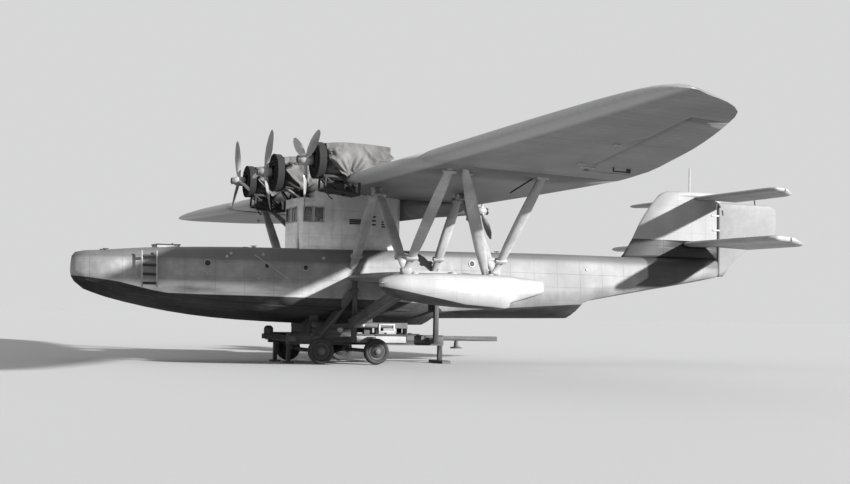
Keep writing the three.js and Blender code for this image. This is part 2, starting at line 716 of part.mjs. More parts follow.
const WHEEL = { radius: 0.42, width: 0.26, trackY: 1.78, axleX: [-7.5, -9.35] };
const RAIL = { y: 1.05, width: 0.16, z: 0.79, depth: 0.34, frontX: -6.6, backX: -11.95 };
const UPPER_RAIL = { y: 1.1, z: 1.25, frontX: -7.4, backX: -10.65 };
const COUPLING = { x: -6.1, z: 0.84 };

function wheelSolid() {
  const { radius, width } = WHEEL;
  const half = width / 2;
  const profile = [
    [0.075, -half], [0.18, -half], [0.22, -half * 0.4], [radius * 0.68, -half * 0.4],
    [radius * 0.8, -half * 0.95], [radius * 0.96, -half * 0.7], [radius, 0],
    [radius * 0.96, half * 0.7], [radius * 0.8, half * 0.95],
    [radius * 0.68, half * 0.4], [0.22, half * 0.4], [0.18, half], [0.075, half], [0.075, -half],
  ];
  return toManifold(new THREE.LatheGeometry(profile.map(([r, y]) => new THREE.Vector2(r, y)), 24));
}

// Assembly

const hull = hullSolid();
const hullRoom = hullSolid(GAP);
const wingRoom = withMirror(wingSolid(0, HALF_SPAN, GAP));

// Bow hatch: a raised coaming on the deck with a lid hinged at its forward edge.
const HATCH = {
  frontX: -2.55, backX: -3.25, half: 0.42, footZ: 3.3, wellZ: 2.8, rimZ: 3.62, wall: 0.05, lid: 0.03,
};
const hatchOuter = box(HATCH.frontX, HATCH.backX, -HATCH.half, HATCH.half, HATCH.footZ, HATCH.rimZ);
const hatchInner = box(
  HATCH.frontX - HATCH.wall, HATCH.backX + HATCH.wall, -HATCH.half + HATCH.wall, HATCH.half - HATCH.wall,
  HATCH.wellZ, HATCH.rimZ + 0.2,
);
addPart('hull', 'hull', hull.subtract(hatchInner));
addPart('hatch_coaming', 'hull', hatchOuter.subtract(hatchInner).subtract(hullRoom));
const lidZ = HATCH.rimZ + 0.012;
addPart('hatch_lid', 'black', box(
  HATCH.frontX + 0.02, HATCH.backX - 0.03, -HATCH.half - 0.03, HATCH.half + 0.03, lidZ, lidZ + HATCH.lid,
));

// Cockpit tower: walls with their windows cut, a roof, the glazing inside the walls and the seats.
let towerWalls = towerPrism(0, TOWER.footZ, 5.6).subtract(towerPrism(TOWER.wall, TOWER.footZ - 1, 7));
SIDE_WINDOWS.forEach(([front, back]) => {
  towerWalls = towerWalls.subtract(box(front, back, -2, 2, TOWER.sillZ, TOWER.headZ));
});
FRONT_WINDOWS.forEach(([from, to]) => {
  towerWalls = towerWalls.subtract(
    box(TOWER.frontX + 1, TOWER.frontX - 0.3, from, to, TOWER.sillZ, TOWER.headZ),
  );
});
const frontRoom = box(TOWER.wingX, 0, -3, 3, TOWER.topZ, 9);
const roofBulkhead = box(
  TOWER.wingX, TOWER.wingX - TOWER.wall, -TOWER.halfWidth, TOWER.halfWidth, TOWER.topZ, 5.52,
);
towerWalls = towerWalls.subtract(frontRoom).add(roofBulkhead).subtract(wingRoom).subtract(hullRoom);
addPart('tower_walls', 'hull', largest(towerWalls));
const roofBlank = towerPrism(0, TOWER.topZ + GAP, TOWER.topZ + 0.1);
addPart('tower_roof', 'hull', roofBlank.intersect(box(TOWER.wingX + GAP, 0, -3, 3, 0, 9)));
const glassOuter = towerPrism(TOWER.wall + GAP, TOWER.sillZ - 0.05, TOWER.headZ + 0.05);
const glassInner = towerPrism(TOWER.wall + GAP + 0.02, TOWER.sillZ - 1, TOWER.headZ + 1);
addPart('tower_glazing', 'glass', glassOuter.subtract(glassInner).intersect(box(-7.81, 0, -3, 3, 0, 9)));
const seatBase = box(-8.3, -7.95, -0.62, 0.62, TOWER.footZ, 3.88);
const seats = [0.4, -0.4].flatMap((y) => [
  box(-8.35, -7.85, y - 0.2, y + 0.2, 3.86, 4.1),
  box(-8.42, -8.32, y - 0.2, y + 0.2, 3.86, 4.75),
]);
addPart('pilot_seats', 'black', union([seatBase, ...seats]).subtract(hullRoom));
const panelFace = box(-7.2, -7.3, -0.74, 0.74, 3.9, 4.5);
const panelFeet = [0.6, -0.6].map((y) => box(-7.22, -7.28, y - 0.05, y + 0.05, TOWER.footZ, 3.95));
addPart('instrument_panel', 'black', union([panelFace, ...panelFeet]).subtract(hullRoom));

// Wing
const fairings = [[0, HUB_Z.centre], [SIDE_ENGINE_Y, HUB_Z.side], [-SIDE_ENGINE_Y, HUB_Z.side]]
  .map(([y, z]) => fairingSolid(y, z).intersect(box(FAIRING_FRONT_X, -12, y - 1, y + 1, 5.64, 7)));
const centreWing = union([withMirror(wingSolid(0, PANEL_JOINT_Y)), ...fairings]);
addPart('wing_centre', 'wing', centreWing);
const outerWing = wingSolid(PANEL_JOINT_Y + GAP, HALF_SPAN).subtract(aileronBay());
addPart('wing_outer_left', 'wing', outerWing);
addPart('wing_outer_right', 'wing', mirrored(outerWing));
const aileron = aileronSolid();
addPart('aileron_left', 'wing', aileron);
addPart('aileron_right', 'wing', mirrored(aileron));

// Engines, radiators, covers and propellers. Blade angles are those of the parked aircraft.
const FRONT_ENGINES = [
  { tag: 'centre', y: 0, z: HUB_Z.centre, propX: PROP_X.centre, radius: 0.62, blade: 60 },
  { tag: 'left', y: SIDE_ENGINE_Y, z: HUB_Z.side, propX: PROP_X.side, radius: 0.56, blade: 29 },
  { tag: 'right', y: -SIDE_ENGINE_Y, z: HUB_Z.side, propX: PROP_X.side, radius: 0.56, blade: 105 },
];
FRONT_ENGINES.forEach(({ tag, y, z, propX, radius, blade }) => {
  const radiatorX = propX - 0.26;
  addPart(`radiator_${tag}`, 'black', radiatorSolid(y, radiatorX, z, radius));
  const engine = engineSolid(y, radiatorX - 0.27, FAIRING_FRONT_X + GAP, z);
  addPart(`engine_${tag}`, 'engine', largest(engine.subtract(wingRoom)));
  const cover = coverSolid(y, radiatorX - 0.27, z).subtract(wingRoom);
  addPart(`cover_${tag}`, 'cover', largest(cover));
  addPart(`propeller_${tag}`, 'blade', placed(propellerSolid(blade, 1), propX, y, z));
});
const rearPropeller = propellerSolid(-50, -1).scale(PROP_RADIUS.rear / PROP_RADIUS.front);
addPart('propeller_rear', 'blade', placed(rearPropeller, PROP_X.rear, 0, HUB_Z.rear));

function largest(solid) {
  return solid.decompose().sort((a, b) => b.volume() - a.volume())[0];
}

// Rear nacelle under the trailing edge, with the pushing engine's block inside its form.
// Columns: x, top z, bottom z, half-width.
const REAR_NACELLE = [
  [TOWER.backX - GAP, 5.6, 4.72, 0.14],
  [-11.1, 5.66, 4.78, 0.3],
  [-11.6, 5.7, 4.86, 0.4],
  [-12.3, 5.76, 4.94, 0.45],
  [-12.9, 5.72, 5.0, 0.43],
  [-13.3, 5.58, 5.05, 0.34],
  [-13.55, 5.4, 5.07, 0.2],
];
const rearNacelle = loft(REAR_NACELLE.map(([x, top, bottom, half]) => {
  const middle = (top + bottom) / 2;
  const tall = (top - bottom) / 2;
  return Array.from({ length: 14 }, (_, i) => {
    const angle = (i / 14) * 2 * Math.PI;
    return new THREE.Vector3(x, half * Math.cos(angle), middle + tall * Math.sin(angle));
  });
}));
addPart('engine_rear', 'wing', largest(rearNacelle.subtract(wingRoom)));

// Stub wings, floats and struts, port side first and then the mirror image.
const floatBody = floatSolid();
const floatRoom = floatSolid(GAP);
const stub = stubSolid().subtract(hullRoom).subtract(floatRoom);
const stubRoom = stubSolid(GAP);

// The struts zigzag outwards from the hull; a fitting joins them where two meet.
const STRUT = { chord: 0.36, thickness: 0.13, fittingChord: 0.28, fittingHalf: 0.11 };
const hullRoot = [1.3, 2.9];
const floatNode = [FLOAT_Y, 2.86];
const innerTop = [INNER_STRUT_Y, 5.56];
const outerTop = [OUTER_STRUT_Y, 5.8];

function strutSet(x) {
  const members = [[hullRoot, innerTop], [innerTop, floatNode], [floatNode, outerTop]];
  const solids = members.map(([low, high]) => (
    strut([x, ...low], [x, ...high], STRUT.chord, STRUT.thickness)));
  const { fittingChord, fittingHalf } = STRUT;
  const fittings = [[innerTop, -0.16, 0.2], [floatNode, -0.2, 0.1]].map(([[y, z], down, up]) => (
    box(x - fittingChord / 2, x + fittingChord / 2, y - fittingHalf, y + fittingHalf, z + down, z + up)));
  const joined = union([...solids, ...fittings]);
  return joined.subtract(wingRoom).subtract(hullRoom).subtract(floatRoom).subtract(stubRoom);
}

const frontStruts = largest(strutSet(FRONT_SPAR_X));
const rearStruts = largest(strutSet(REAR_SPAR_X));
const DIAGONAL = { inset: 0.28, footZ: 2.8, topZ: 5.64 };
const diagonal = largest(strut(
  [REAR_SPAR_X + DIAGONAL.inset, FLOAT_Y, DIAGONAL.footZ],
  [FRONT_SPAR_X - DIAGONAL.inset, OUTER_STRUT_Y, DIAGONAL.topZ],
  STRUT.chord, STRUT.thickness,
).subtract(wingRoom).subtract(floatRoom).subtract(stubRoom));
const outriggerTop = [FRONT_SPAR_X + 0.02, FLOAT_Y - 0.1, 2.3];

const SIDES = [['left', (solid) => solid], ['right', mirrored]];
const portSide = [
  ['float', 'hull', floatBody],
  ['stub_wing', 'hull', largest(stub)],
  ['struts_front', 'strut', frontStruts],
  ['struts_rear', 'strut', rearStruts],
  ['strut_diagonal', 'strut', diagonal],
];
SIDES.forEach(([side, hand]) => {
  portSide.forEach(([name, finishName, solid]) => addPart(`${name}_${side}`, finishName, hand(solid)));
});

// Tail surfaces
const lowerPlane = tailplaneSolid(TAIL_LOWER);
const upperPlane = tailplaneSolid(TAIL_UPPER);
const fin = finSolid().subtract(hullRoom)
  .subtract(tailplaneSolid(TAIL_LOWER, GAP))
  .subtract(tailplaneSolid(TAIL_UPPER, GAP));
addPart('fin', 'hull', largest(fin));
addPart('rudder', 'wing', rudderSolid());
addPart('tailplane_lower', 'wing', lowerPlane);
addPart('tailplane_upper', 'wing', upperPlane);
const lowerElevator = elevatorSolid(TAIL_LOWER);
const upperElevator = elevatorSolid(TAIL_UPPER);
addPart('elevator_lower_left', 'wing', lowerElevator);
addPart('elevator_lower_right', 'wing', mirrored(lowerElevator));
addPart('elevator_upper_left', 'wing', upperElevator);
addPart('elevator_upper_right', 'wing', mirrored(upperElevator));
addPart('aerial_mast', 'strut', bar([-22.16, 0, 6.32 + GAP], [-22.16, 0, 7.2], 0.03, 8));

// Boarding ladder on the port side of the bow
const LADDER = {
  frontX: -1.93, backX: -2.38, footZ: 2.3, headZ: 3.4, footY: 1.42, headY: 1.22, rungs: 4,
};
const ladderPoint = (x, share) => [
  x,
  LADDER.footY + (LADDER.headY - LADDER.footY) * share,
  LADDER.footZ + (LADDER.headZ - LADDER.footZ) * share,
];
const ladder = [LADDER.frontX, LADDER.backX].map((x) => bar(ladderPoint(x, 0), ladderPoint(x, 1), 0.03, 8));
for (let rung = 0; rung < LADDER.rungs; rung += 1) {
  const share = (rung + 0.4) / LADDER.rungs;
  ladder.push(bar(ladderPoint(LADDER.frontX, share), ladderPoint(LADDER.backX, share), 0.025, 8));
}
addPart('boarding_ladder', 'strut', largest(union(ladder).subtract(hullRoom)));

// Beaching trolley
const rails = [RAIL.y, -RAIL.y].map((y) => (
  beam([RAIL.frontX, y, RAIL.z], [RAIL.backX, y, RAIL.z], RAIL.width, RAIL.depth)));
const crossX = [RAIL.frontX - 0.1, -7.5, -8.6, -9.35, -11.5];
const crossBeams = crossX.map((x) => beam([x, -1.5, RAIL.z], [x, 1.5, RAIL.z], 0.18, 0.18));
const axles = WHEEL.axleX.flatMap((x) => [
  bar([x, -WHEEL.trackY - 0.2, WHEEL.radius], [x, WHEEL.trackY + 0.2, WHEEL.radius], 0.06, 12),
  beam([x, RAIL.y, WHEEL.radius - 0.04], [x, RAIL.y, RAIL.z], 0.2, 0.16),
  beam([x, -RAIL.y, WHEEL.radius - 0.04], [x, -RAIL.y, RAIL.z], 0.2, 0.16),
]);
const uprightRows = [[FRONT_SPAR_X, 2.75], [REAR_SPAR_X, 2.75]];
const uprights = uprightRows.flatMap(([x, top]) => [1, -1].flatMap((side) => [
  beam([x, side * 1.64, RAIL.z], [x, side * 1.64, top], 0.14, 0.14),
  beam([x, side * 0.9, RAIL.z], [x, side * 1.7, RAIL.z], 0.18, 0.18),
]));
const braces = [1, -1].map((side) => (
  beam([-7.6, side * 1.12, RAIL.z], [FRONT_SPAR_X + 0.05, side * 1.62, 2.3], 0.16, 0.26)));
const girders = [1, -1].flatMap((side) => {
  const y = side * UPPER_RAIL.y;
  const { z, frontX, backX } = UPPER_RAIL;
  return [
    beam([frontX, y, z], [backX, y, z], 0.14, 0.18),
    box(frontX - 0.02, -8.75, y - 0.04, y + 0.04, RAIL.z, z),
    ...[-9.6, backX + 0.07].map((x) => beam([x, y, RAIL.z], [x, y, z], 0.12, 0.12)),
  ];
});
const [outriggerX, outriggerY, outriggerZ] = outriggerTop;
const outriggers = [1, -1].map((side) => (
  beam([outriggerX, side * 1.5, 1.28], [outriggerX, side * outriggerY, outriggerZ], 0.26, 0.3)));
const frontStem = [
  beam([RAIL.frontX - 0.1, 0, RAIL.z], [RAIL.frontX - 0.45, 0, 0.5], 0.14, 0.14),
  beam([RAIL.frontX - 0.1, 0, COUPLING.z], [COUPLING.x, 0, COUPLING.z], 0.16, 0.16),
];
const drawbar = [
  beam([-11.5, 0, COUPLING.z], [-14.4, 0, COUPLING.z], 0.16, 0.16),
  beam([-12.3, 0, COUPLING.z], [-12.3, 0, 0.02], 0.14, 0.14),
  beam([-12.3, -0.6, 0.05], [-12.3, 0.6, 0.05], 0.3, 0.1),
];
const frontLeg = [
  beam([-6.75, 0.75, RAIL.z], [-6.75, 0.75, 0.02], 0.12, 0.12),
  box(-6.6, -6.9, 0.6, 0.9, 0, 0.06),
  beam([-6.75, -0.75, RAIL.z], [-6.75, -0.75, 0.02], 0.12, 0.12),
  box(-6.6, -6.9, -0.9, -0.6, 0, 0.06),
  beam([-6.75, -1.1, RAIL.z], [-6.75, 1.1, RAIL.z], 0.14, 0.14),
];
const stubRooms = withMirror(stubRoom);
const floatRooms = withMirror(floatRoom);
const trolley = union([
  ...rails, ...crossBeams, ...axles, ...uprights, ...braces, ...girders, ...outriggers,
  ...frontStem, ...drawbar, ...frontLeg,
]).subtract(hullRoom).subtract(floatRooms).subtract(stubRooms);
addPart('trolley_frame', 'trolley', largest(trolley));

const cradleRows = [['front', -7.5], ['rear', -9.35]];
cradleRows.forEach(([tag, x]) => {
  const blank = box(x - 0.14, x + 0.14, -1.0, 1.0, RAIL.z + RAIL.depth / 2 + GAP, 1.62);
  addPart(`cradle_${tag}`, 'wood', largest(blank.subtract(hullRoom)));
});

const wheel = wheelSolid();
WHEEL.axleX.forEach((x, row) => {
  [['left', 1], ['right', -1]].forEach(([side, hand]) => {
    const place = placed(wheel, x, hand * WHEEL.trackY, WHEEL.radius);
    addPart(`wheel_${row === 0 ? 'front' : 'rear'}_${side}`, 'tyre', place);
  });
});

export default model;
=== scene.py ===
import json
import math

import bmesh
import bpy
from mathutils import Matrix, Vector
from mathutils.bvhtree import BVHTree


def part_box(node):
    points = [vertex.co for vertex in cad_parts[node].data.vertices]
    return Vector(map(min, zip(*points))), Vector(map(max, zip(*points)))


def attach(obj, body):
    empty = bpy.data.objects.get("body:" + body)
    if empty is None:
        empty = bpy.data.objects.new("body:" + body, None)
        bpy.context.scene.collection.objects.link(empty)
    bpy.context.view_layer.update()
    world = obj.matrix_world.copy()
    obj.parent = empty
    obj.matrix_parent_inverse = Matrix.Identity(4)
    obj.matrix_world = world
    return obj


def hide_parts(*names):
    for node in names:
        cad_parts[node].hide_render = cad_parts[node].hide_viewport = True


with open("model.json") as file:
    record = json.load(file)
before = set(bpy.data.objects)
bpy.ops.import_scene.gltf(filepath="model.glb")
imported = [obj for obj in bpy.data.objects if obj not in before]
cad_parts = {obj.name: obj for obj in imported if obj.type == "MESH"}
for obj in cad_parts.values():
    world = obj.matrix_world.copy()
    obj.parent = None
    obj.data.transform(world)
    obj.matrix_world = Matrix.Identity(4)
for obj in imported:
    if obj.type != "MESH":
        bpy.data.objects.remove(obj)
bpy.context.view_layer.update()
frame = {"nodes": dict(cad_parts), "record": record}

# Sizes in this script are those of the full-size aircraft, in metres: x is 0 at the bow and negative
# aft, y is to port and z is up from the ground. The model is half of that.
SCALE = 0.5
BOW_X = 6.5


def at(x, y, z):
    """A place on the full-size aircraft as a place on the model."""
    return Vector((BOW_X + SCALE * x, SCALE * y, SCALE * z))


def x_at(x):
    """A full-size place along the aircraft as the model's x."""
    return at(x, 0, 0).x


def z_at(z):
    """A full-size height as the model's z."""
    return at(0, 0, z).z


# Camera, light and floor

# The lens in millimetres, the camera's place in full-size metres, its heading and pitch in degrees and its
# roll in radians.
LENS = 57.9
CAMERA_PLACE = (5.843, 42.704, 1.635)
HEADING = 157.685
PITCH = 93.03
ROLL = 0.02006

# The way towards the sun, its strength and its width in degrees.
SUN_TOWARDS = (-2.06, 2.5, 1.0)
SUN_STRENGTH = 11.5
SUN_WIDTH = 1.5

ROOM_COLOUR = (0.8, 0.8, 0.805, 1.0)
ROOM_STRENGTH = 0.85
FLOOR_WIDTH = 900.0
FLOOR_DROP = 0.0005


def add_camera():
    data = bpy.data.cameras.new("camera")
    data.sensor_width = 36.0
    data.lens = LENS
    data.clip_end = 2000.0
    camera = bpy.data.objects.new("camera", data)
    bpy.context.scene.collection.objects.link(camera)
    heading = Matrix.Rotation(math.radians(HEADING), 4, "Z")
    pitch = Matrix.Rotation(math.radians(PITCH), 4, "X")
    roll = Matrix.Rotation(ROLL, 4, "Z")
    camera.matrix_world = Matrix.Translation(at(*CAMERA_PLACE)) @ heading @ pitch @ roll
    bpy.context.scene.camera = camera


def add_sun(name, towards, strength, softness):
    data = bpy.data.lights.new(name, "SUN")
    data.energy = strength
    data.angle = math.radians(softness)
    sun = bpy.data.objects.new(name, data)
    bpy.context.scene.collection.objects.link(sun)
    sun.rotation_euler = Vector(towards).to_track_quat("Z", "Y").to_euler()


def light_room():
    world = bpy.data.worlds.new("pale_room")
    world.use_nodes = True
    background = world.node_tree.nodes["Background"]
    background.inputs["Color"].default_value = ROOM_COLOUR
    background.inputs["Strength"].default_value = ROOM_STRENGTH
    bpy.context.scene.world = world
    add_sun("key_light", SUN_TOWARDS, SUN_STRENGTH, SUN_WIDTH)


# Modelling helpers

def deselect():
    bpy.ops.object.select_all(action="DESELECT")


def choose(*pieces):
    deselect()
    for piece in pieces:
        piece.select_set(True)
    bpy.context.view_layer.objects.active = pieces[0]


def edit(piece):
    choose(piece)
    bpy.ops.object.mode_set(mode="EDIT")


def leave():
    bpy.ops.object.mode_set(mode="OBJECT")


def pick_faces(piece, test):
    """Selects the faces of a piece in edit mode that pass a test, and no others."""
    bpy.ops.mesh.select_all(action="DESELECT")
    bpy.ops.mesh.select_mode(type="FACE")
    mesh = bmesh.from_edit_mesh(piece.data)
    for face in mesh.faces:
        if test(face):
            face.select_set(True)
    mesh.select_flush_mode()
    bmesh.update_edit_mesh(piece.data)


def apply_place(piece):
    choose(piece)
    bpy.ops.object.transform_apply(location=True, rotation=True, scale=True)


def apply_modifier(piece, kind, **settings):
    choose(piece)
    modifier = piece.modifiers.new(kind.lower(), kind)
    for key, value in settings.items():
        setattr(modifier, key, value)
    bpy.ops.object.modifier_apply(modifier=modifier.name)


def smooth(piece, degrees=35):
    choose(piece)
    bpy.ops.object.shade_smooth_by_angle(angle=math.radians(degrees))


def outward(piece):
    """Merges doubled points and turns every face outwards."""
    edit(piece)
    bpy.ops.mesh.select_all(action="SELECT")
    bpy.ops.mesh.remove_doubles(threshold=1e-5)
    bpy.ops.mesh.normals_make_consistent(inside=False)
    leave()


def joined(name, pieces):
    choose(*pieces)
    if len(pieces) > 1:
        bpy.ops.object.join()
    whole = bpy.context.view_layer.objects.active
    whole.name = name
    whole.data.name = name
    return whole


def flipped(piece):
    """Turns a piece into its mirror image across the middle line."""
    piece.data.transform(Matrix.Scale(-1, 4, (0, 1, 0)))
    piece.data.flip_normals()
    return piece


def copied(piece, name, shift=(0, 0, 0), mirror=False):
    """A copy with its own mesh, moved in full-size metres or mirrored to starboard."""
    copy = piece.copy()
    copy.data = piece.data.copy()
    copy.name = name
    copy.data.name = name
    bpy.context.scene.collection.objects.link(copy)
    copy.data.transform(Matrix.Translation(Vector(shift) * SCALE))
    return flipped(copy) if mirror else copy


def finish_piece(piece, finish, body="airframe", angle=35):
    """Gives a piece its finish and the body that it rides on."""
    apply_place(piece)
    piece.data.materials.clear()
    piece.data.materials.append(finish)
    smooth(piece, angle)
    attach(piece, body)


# Simple shapes, from a cube, cylinder, circle or curve, with their edges broken

def slab(name, low, high, edge=0.01):
    """A block between two full-size corners."""
    deselect()
    size = at(*high) - at(*low)
    bpy.ops.mesh.primitive_cube_add(
        size=1, location=(at(*low) + at(*high)) / 2, scale=[abs(side) for side in size])
    piece = bpy.context.object
    piece.name = name
    apply_place(piece)
    edit(piece)
    bpy.ops.mesh.select_all(action="SELECT")
    bpy.ops.mesh.bevel(offset=edge * SCALE, segments=2, affect="EDGES")
    leave()
    return piece


def rod(name, start, end, radius, sides=10, edge=0.3):
    """A round rod between two full-size places, chamfered at both ends."""
    begin, last = at(*start), at(*end)
    run = last - begin
    deselect()
    bpy.ops.mesh.primitive_cylinder_add(
        vertices=sides, radius=radius * SCALE, depth=run.length, location=(begin + last) / 2,
        rotation=run.to_track_quat("Z", "Y").to_euler())
    piece = bpy.context.object
    piece.name = name
    edit(piece)
    pick_faces(piece, lambda face: len(face.verts) > 4)
    bpy.ops.mesh.bevel(offset=radius * edge * SCALE, segments=1, affect="EDGES")
    leave()
    apply_place(piece)
    return piece


def turned(name, rows, centre, towards=(0, 0, 1), sides=24):
    """A turned form about an axis, from rows of radius and place along the axis."""
    first_radius, first_place = rows[0]
    deselect()
    bpy.ops.mesh.primitive_circle_add(
        vertices=sides, radius=first_radius * SCALE, fill_type="NGON", location=(0, 0, first_place * SCALE))
    piece = bpy.context.object
    piece.name = name
    apply_place(piece)
    edit(piece)
    bpy.ops.mesh.select_all(action="SELECT")
    for (radius, place), (next_radius, next_place) in zip(rows, rows[1:]):
        step = (0, 0, (next_place - place) * SCALE)
        bpy.ops.mesh.extrude_region_move(TRANSFORM_OT_translate={"value": step})
        growth = next_radius / radius
        bpy.ops.transform.resize(
            value=(growth, growth, 1), center_override=(0, 0, next_place * SCALE))
    leave()
    outward(piece)
    piece.rotation_euler = Vector(towards).to_track_quat("Z", "Y").to_euler()
    piece.location = at(*centre)
    apply_place(piece)
    return piece


def pipe(name, points, radius, sides=2):
    """A bent tube through full-size places."""
    deselect()
    bpy.ops.curve.primitive_nurbs_path_add()
    piece = bpy.context.object
    piece.name = name
    piece.data.splines.clear()
    spline = piece.data.splines.new("NURBS")
    spline.points.add(len(points) - 1)
    for point, place in zip(spline.points, points):
        point.co = (*at(*place), 1.0)
    spline.use_endpoint_u = True
    spline.order_u = min(4, len(points))
    spline.resolution_u = 6
    piece.data.bevel_depth = radius * SCALE
    piece.data.bevel_resolution = sides
    piece.data.use_fill_caps = True
    bpy.ops.object.convert(target="MESH")
    outward(piece)
    return piece


SURFACES = {}


def surface(node):
    """The surface of a solid, ready for lines to be cast at it."""
    if node not in SURFACES:
        mesh = frame["nodes"][node].data
        corners = [vertex.co for vertex in mesh.vertices]
        SURFACES[node] = BVHTree.FromPolygons(corners, [face.vertices for face in mesh.polygons])
    return SURFACES[node]


# A distance to port that is clear of the whole aircraft.
ABEAM = 30


def on_side(node, x, z):
    """Where a level line from port meets a solid, in full-size metres, and which way its skin faces."""
    place, normal, _, _ = surface(node).ray_cast(at(x, ABEAM, z), Vector((0, -1, 0)))
    return (x, place.y / SCALE, z), normal


def under(node, x, y, low=0.0):
    """The height of the underside of a solid above a place, in full-size metres."""
    place, _, _, _ = surface(node).ray_cast(at(x, y, low), Vector((0, 0, 1)))
    return place.z / SCALE


def on_top(node, x, y, high=12.0):
    """The height of the top of a solid below a place, in full-size metres."""
    place, _, _, _ = surface(node).ray_cast(at(x, y, high), Vector((0, 0, -1)))
    return place.z / SCALE


def on_both_sides(piece, name):
    """The port piece and its mirror image to starboard as one."""
    return joined(name, [piece, copied(piece, f"{name}_starboard", mirror=True)])


BODIES = {
    node: body for body, nodes in frame["record"]["behaviour"]["bodies"].items() for node in nodes
}


def finish_pair(name, pieces, finish):
    """Joins the port pieces with their mirror image to starboard, and gives the whole its finish."""
    finish_piece(on_both_sides(joined(name, pieces), name), finish)


def skin(node, finish, bevel=0.0):
    """A smooth-shaded copy of a solid, which takes its place."""
    piece = copied(frame["nodes"][node], f"{node}_skin")
    piece.parent = None
    for key in list(piece.keys()):
        del piece[key]
    edit(piece)
    bpy.ops.mesh.select_all(action="SELECT")
    bpy.ops.mesh.remove_doubles(threshold=2e-5)
    leave()
    if bevel:
        apply_modifier(piece, "BEVEL", width=bevel * SCALE, segments=2, limit_method="ANGLE",
                       angle_limit=math.radians(40))
    finish_piece(piece, finish, BODIES[node])
    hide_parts(node)


# Finishes

class Finish:
    """A procedural material, with short ways to add the nodes that make it."""

    def __init__(self, name, colour, roughness=0.5, specular=0.5):
        self.material = bpy.data.materials.new(name)
        self.material.use_nodes = True
        self.tree = self.material.node_tree
        self.shader = self.tree.nodes["Principled BSDF"]
        self.shader.inputs["Base Color"].default_value = grey(colour)
        self.shader.inputs["Roughness"].default_value = roughness
        self.shader.inputs["Specular IOR Level"].default_value = specular
        self.place = self.node("TexCoord").outputs["Object"]
        axes = self.node("SeparateXYZ", {0: self.place}).outputs
        self.x, self.y, self.z = axes[0], axes[1], axes[2]
        self.normal = None

    def fill(self, socket, value):
        if isinstance(value, bpy.types.NodeSocket):
            self.tree.links.new(value, socket)
        else:
            socket.default_value = value

    def node(self, kind, inputs=None, **settings):
        made = self.tree.nodes.new("ShaderNode" + kind)
        for key, value in settings.items():
            setattr(made, key, value)
        for key, value in (inputs or {}).items():
            self.fill(made.inputs[key], value)
        return made

    def maths(self, operation, *values):
        made = self.node("Math", operation=operation)
        for socket, value in zip(made.inputs, values):
            self.fill(socket, value)
        return made.outputs[0]

    def stretch_to(self, value, low, high, first=0.0, last=1.0):
        inputs = {"Value": value, "From Min": low, "From Max": high, "To Min": first, "To Max": last}
        return self.node("MapRange", inputs).outputs[0]

    def patches(self, scale, stretch=(1, 1, 1), detail=4.0, low=0.35, high=0.65):
        """Soft patches from 0 to 1, stretched along an axis where its number is small."""
        mapped = self.node("Mapping", {"Vector": self.place, "Scale": stretch})
        noise = self.node("TexNoise", {"Vector": mapped.outputs[0], "Scale": scale, "Detail": detail})
        return self.stretch_to(noise.outputs[0], low, high)

    def mix(self, share, first, second):
        made = self.node("Mix", data_type="RGBA")
        self.fill(made.inputs[0], share)
        self.fill(made.inputs[6], first)
        self.fill(made.inputs[7], second)
        return made.outputs[2]

    def seams(self, axis, spacing, width, offset=0.0):
        """1 on lines at an even spacing along an axis and 0 between them, in full-size metres."""
        shifted = self.maths("ADD", axis, 100.0 + offset * SCALE)
        turn = self.maths("FRACT", self.maths("DIVIDE", shifted, spacing * SCALE))
        away = self.maths("ABSOLUTE", self.maths("SUBTRACT", turn, 0.5))
        edge = 0.5 - width / spacing
        return self.stretch_to(away, edge, 0.5)

    def colour(self, socket):
        self.fill(self.shader.inputs["Base Color"], socket)

    def roughness(self, socket):
        self.fill(self.shader.inputs["Roughness"], socket)

    def bump(self, height, depth):
        """Adds relief of a depth in model metres."""
        inputs = {"Height": height, "Distance": depth, "Strength": 1.0}
        if self.normal:
            inputs["Normal"] = self.normal
        self.normal = self.node("Bump", inputs).outputs[0]
        self.fill(self.shader.inputs["Normal"], self.normal)


def grey(value, warmth=0.0):
    return (value * (1 + warmth), value, value * (1 - warmth), 1.0)


# The top edge of the black bottom paint along the hull, as x and z.
PAINT_LINE = [
    (-26.0, 2.9), (-22.0, 2.6), (-17.7, 2.12), (-16.6, 2.07), (-14.0, 1.9), (-11.8, 1.75), (-11.4, 1.98),
    (-9.3, 2.07), (-5.55, 2.11), (-3.73, 2.12), (-2.73, 2.14), (-2.31, 2.21), (-1.88, 2.31), (-1.3, 2.45),
    (-0.63, 2.55), (0.0, 2.62),
]

# The same edge along a side float.
FLOAT_LINE = [
    (-13.05, 2.32), (-12.4, 2.17), (-11.74, 1.86), (-10.37, 1.95), (-9.09, 2.18), (-8.47, 2.3), (-7.84, 2.42),
]


def below_line(finish, line, softness=0.012):
    """1 below a line given by x and z along the piece, and 0 above it."""
    low_x, high_x = line[0][0], line[-1][0]
    low_z = min(z for _, z in line) - 0.1
    high_z = max(z for _, z in line) + 0.1
    along = finish.stretch_to(finish.x, x_at(low_x), x_at(high_x))
    curve = finish.node("FloatCurve", {"Value": along})
    points = curve.mapping.curves[0].points
    while len(points) < len(line):
        points.new(0.5, 0.5)
    for point, (x, z) in zip(points, line):
        point.location = ((x - low_x) / (high_x - low_x), (z - low_z) / (high_z - low_z))
        point.handle_type = "VECTOR"
    curve.mapping.update()
    edge = finish.stretch_to(curve.outputs[0], 0, 1, low_z * SCALE, high_z * SCALE)
    depth = finish.maths("SUBTRACT", edge, finish.z)
    return finish.stretch_to(depth, 0, softness * SCALE)


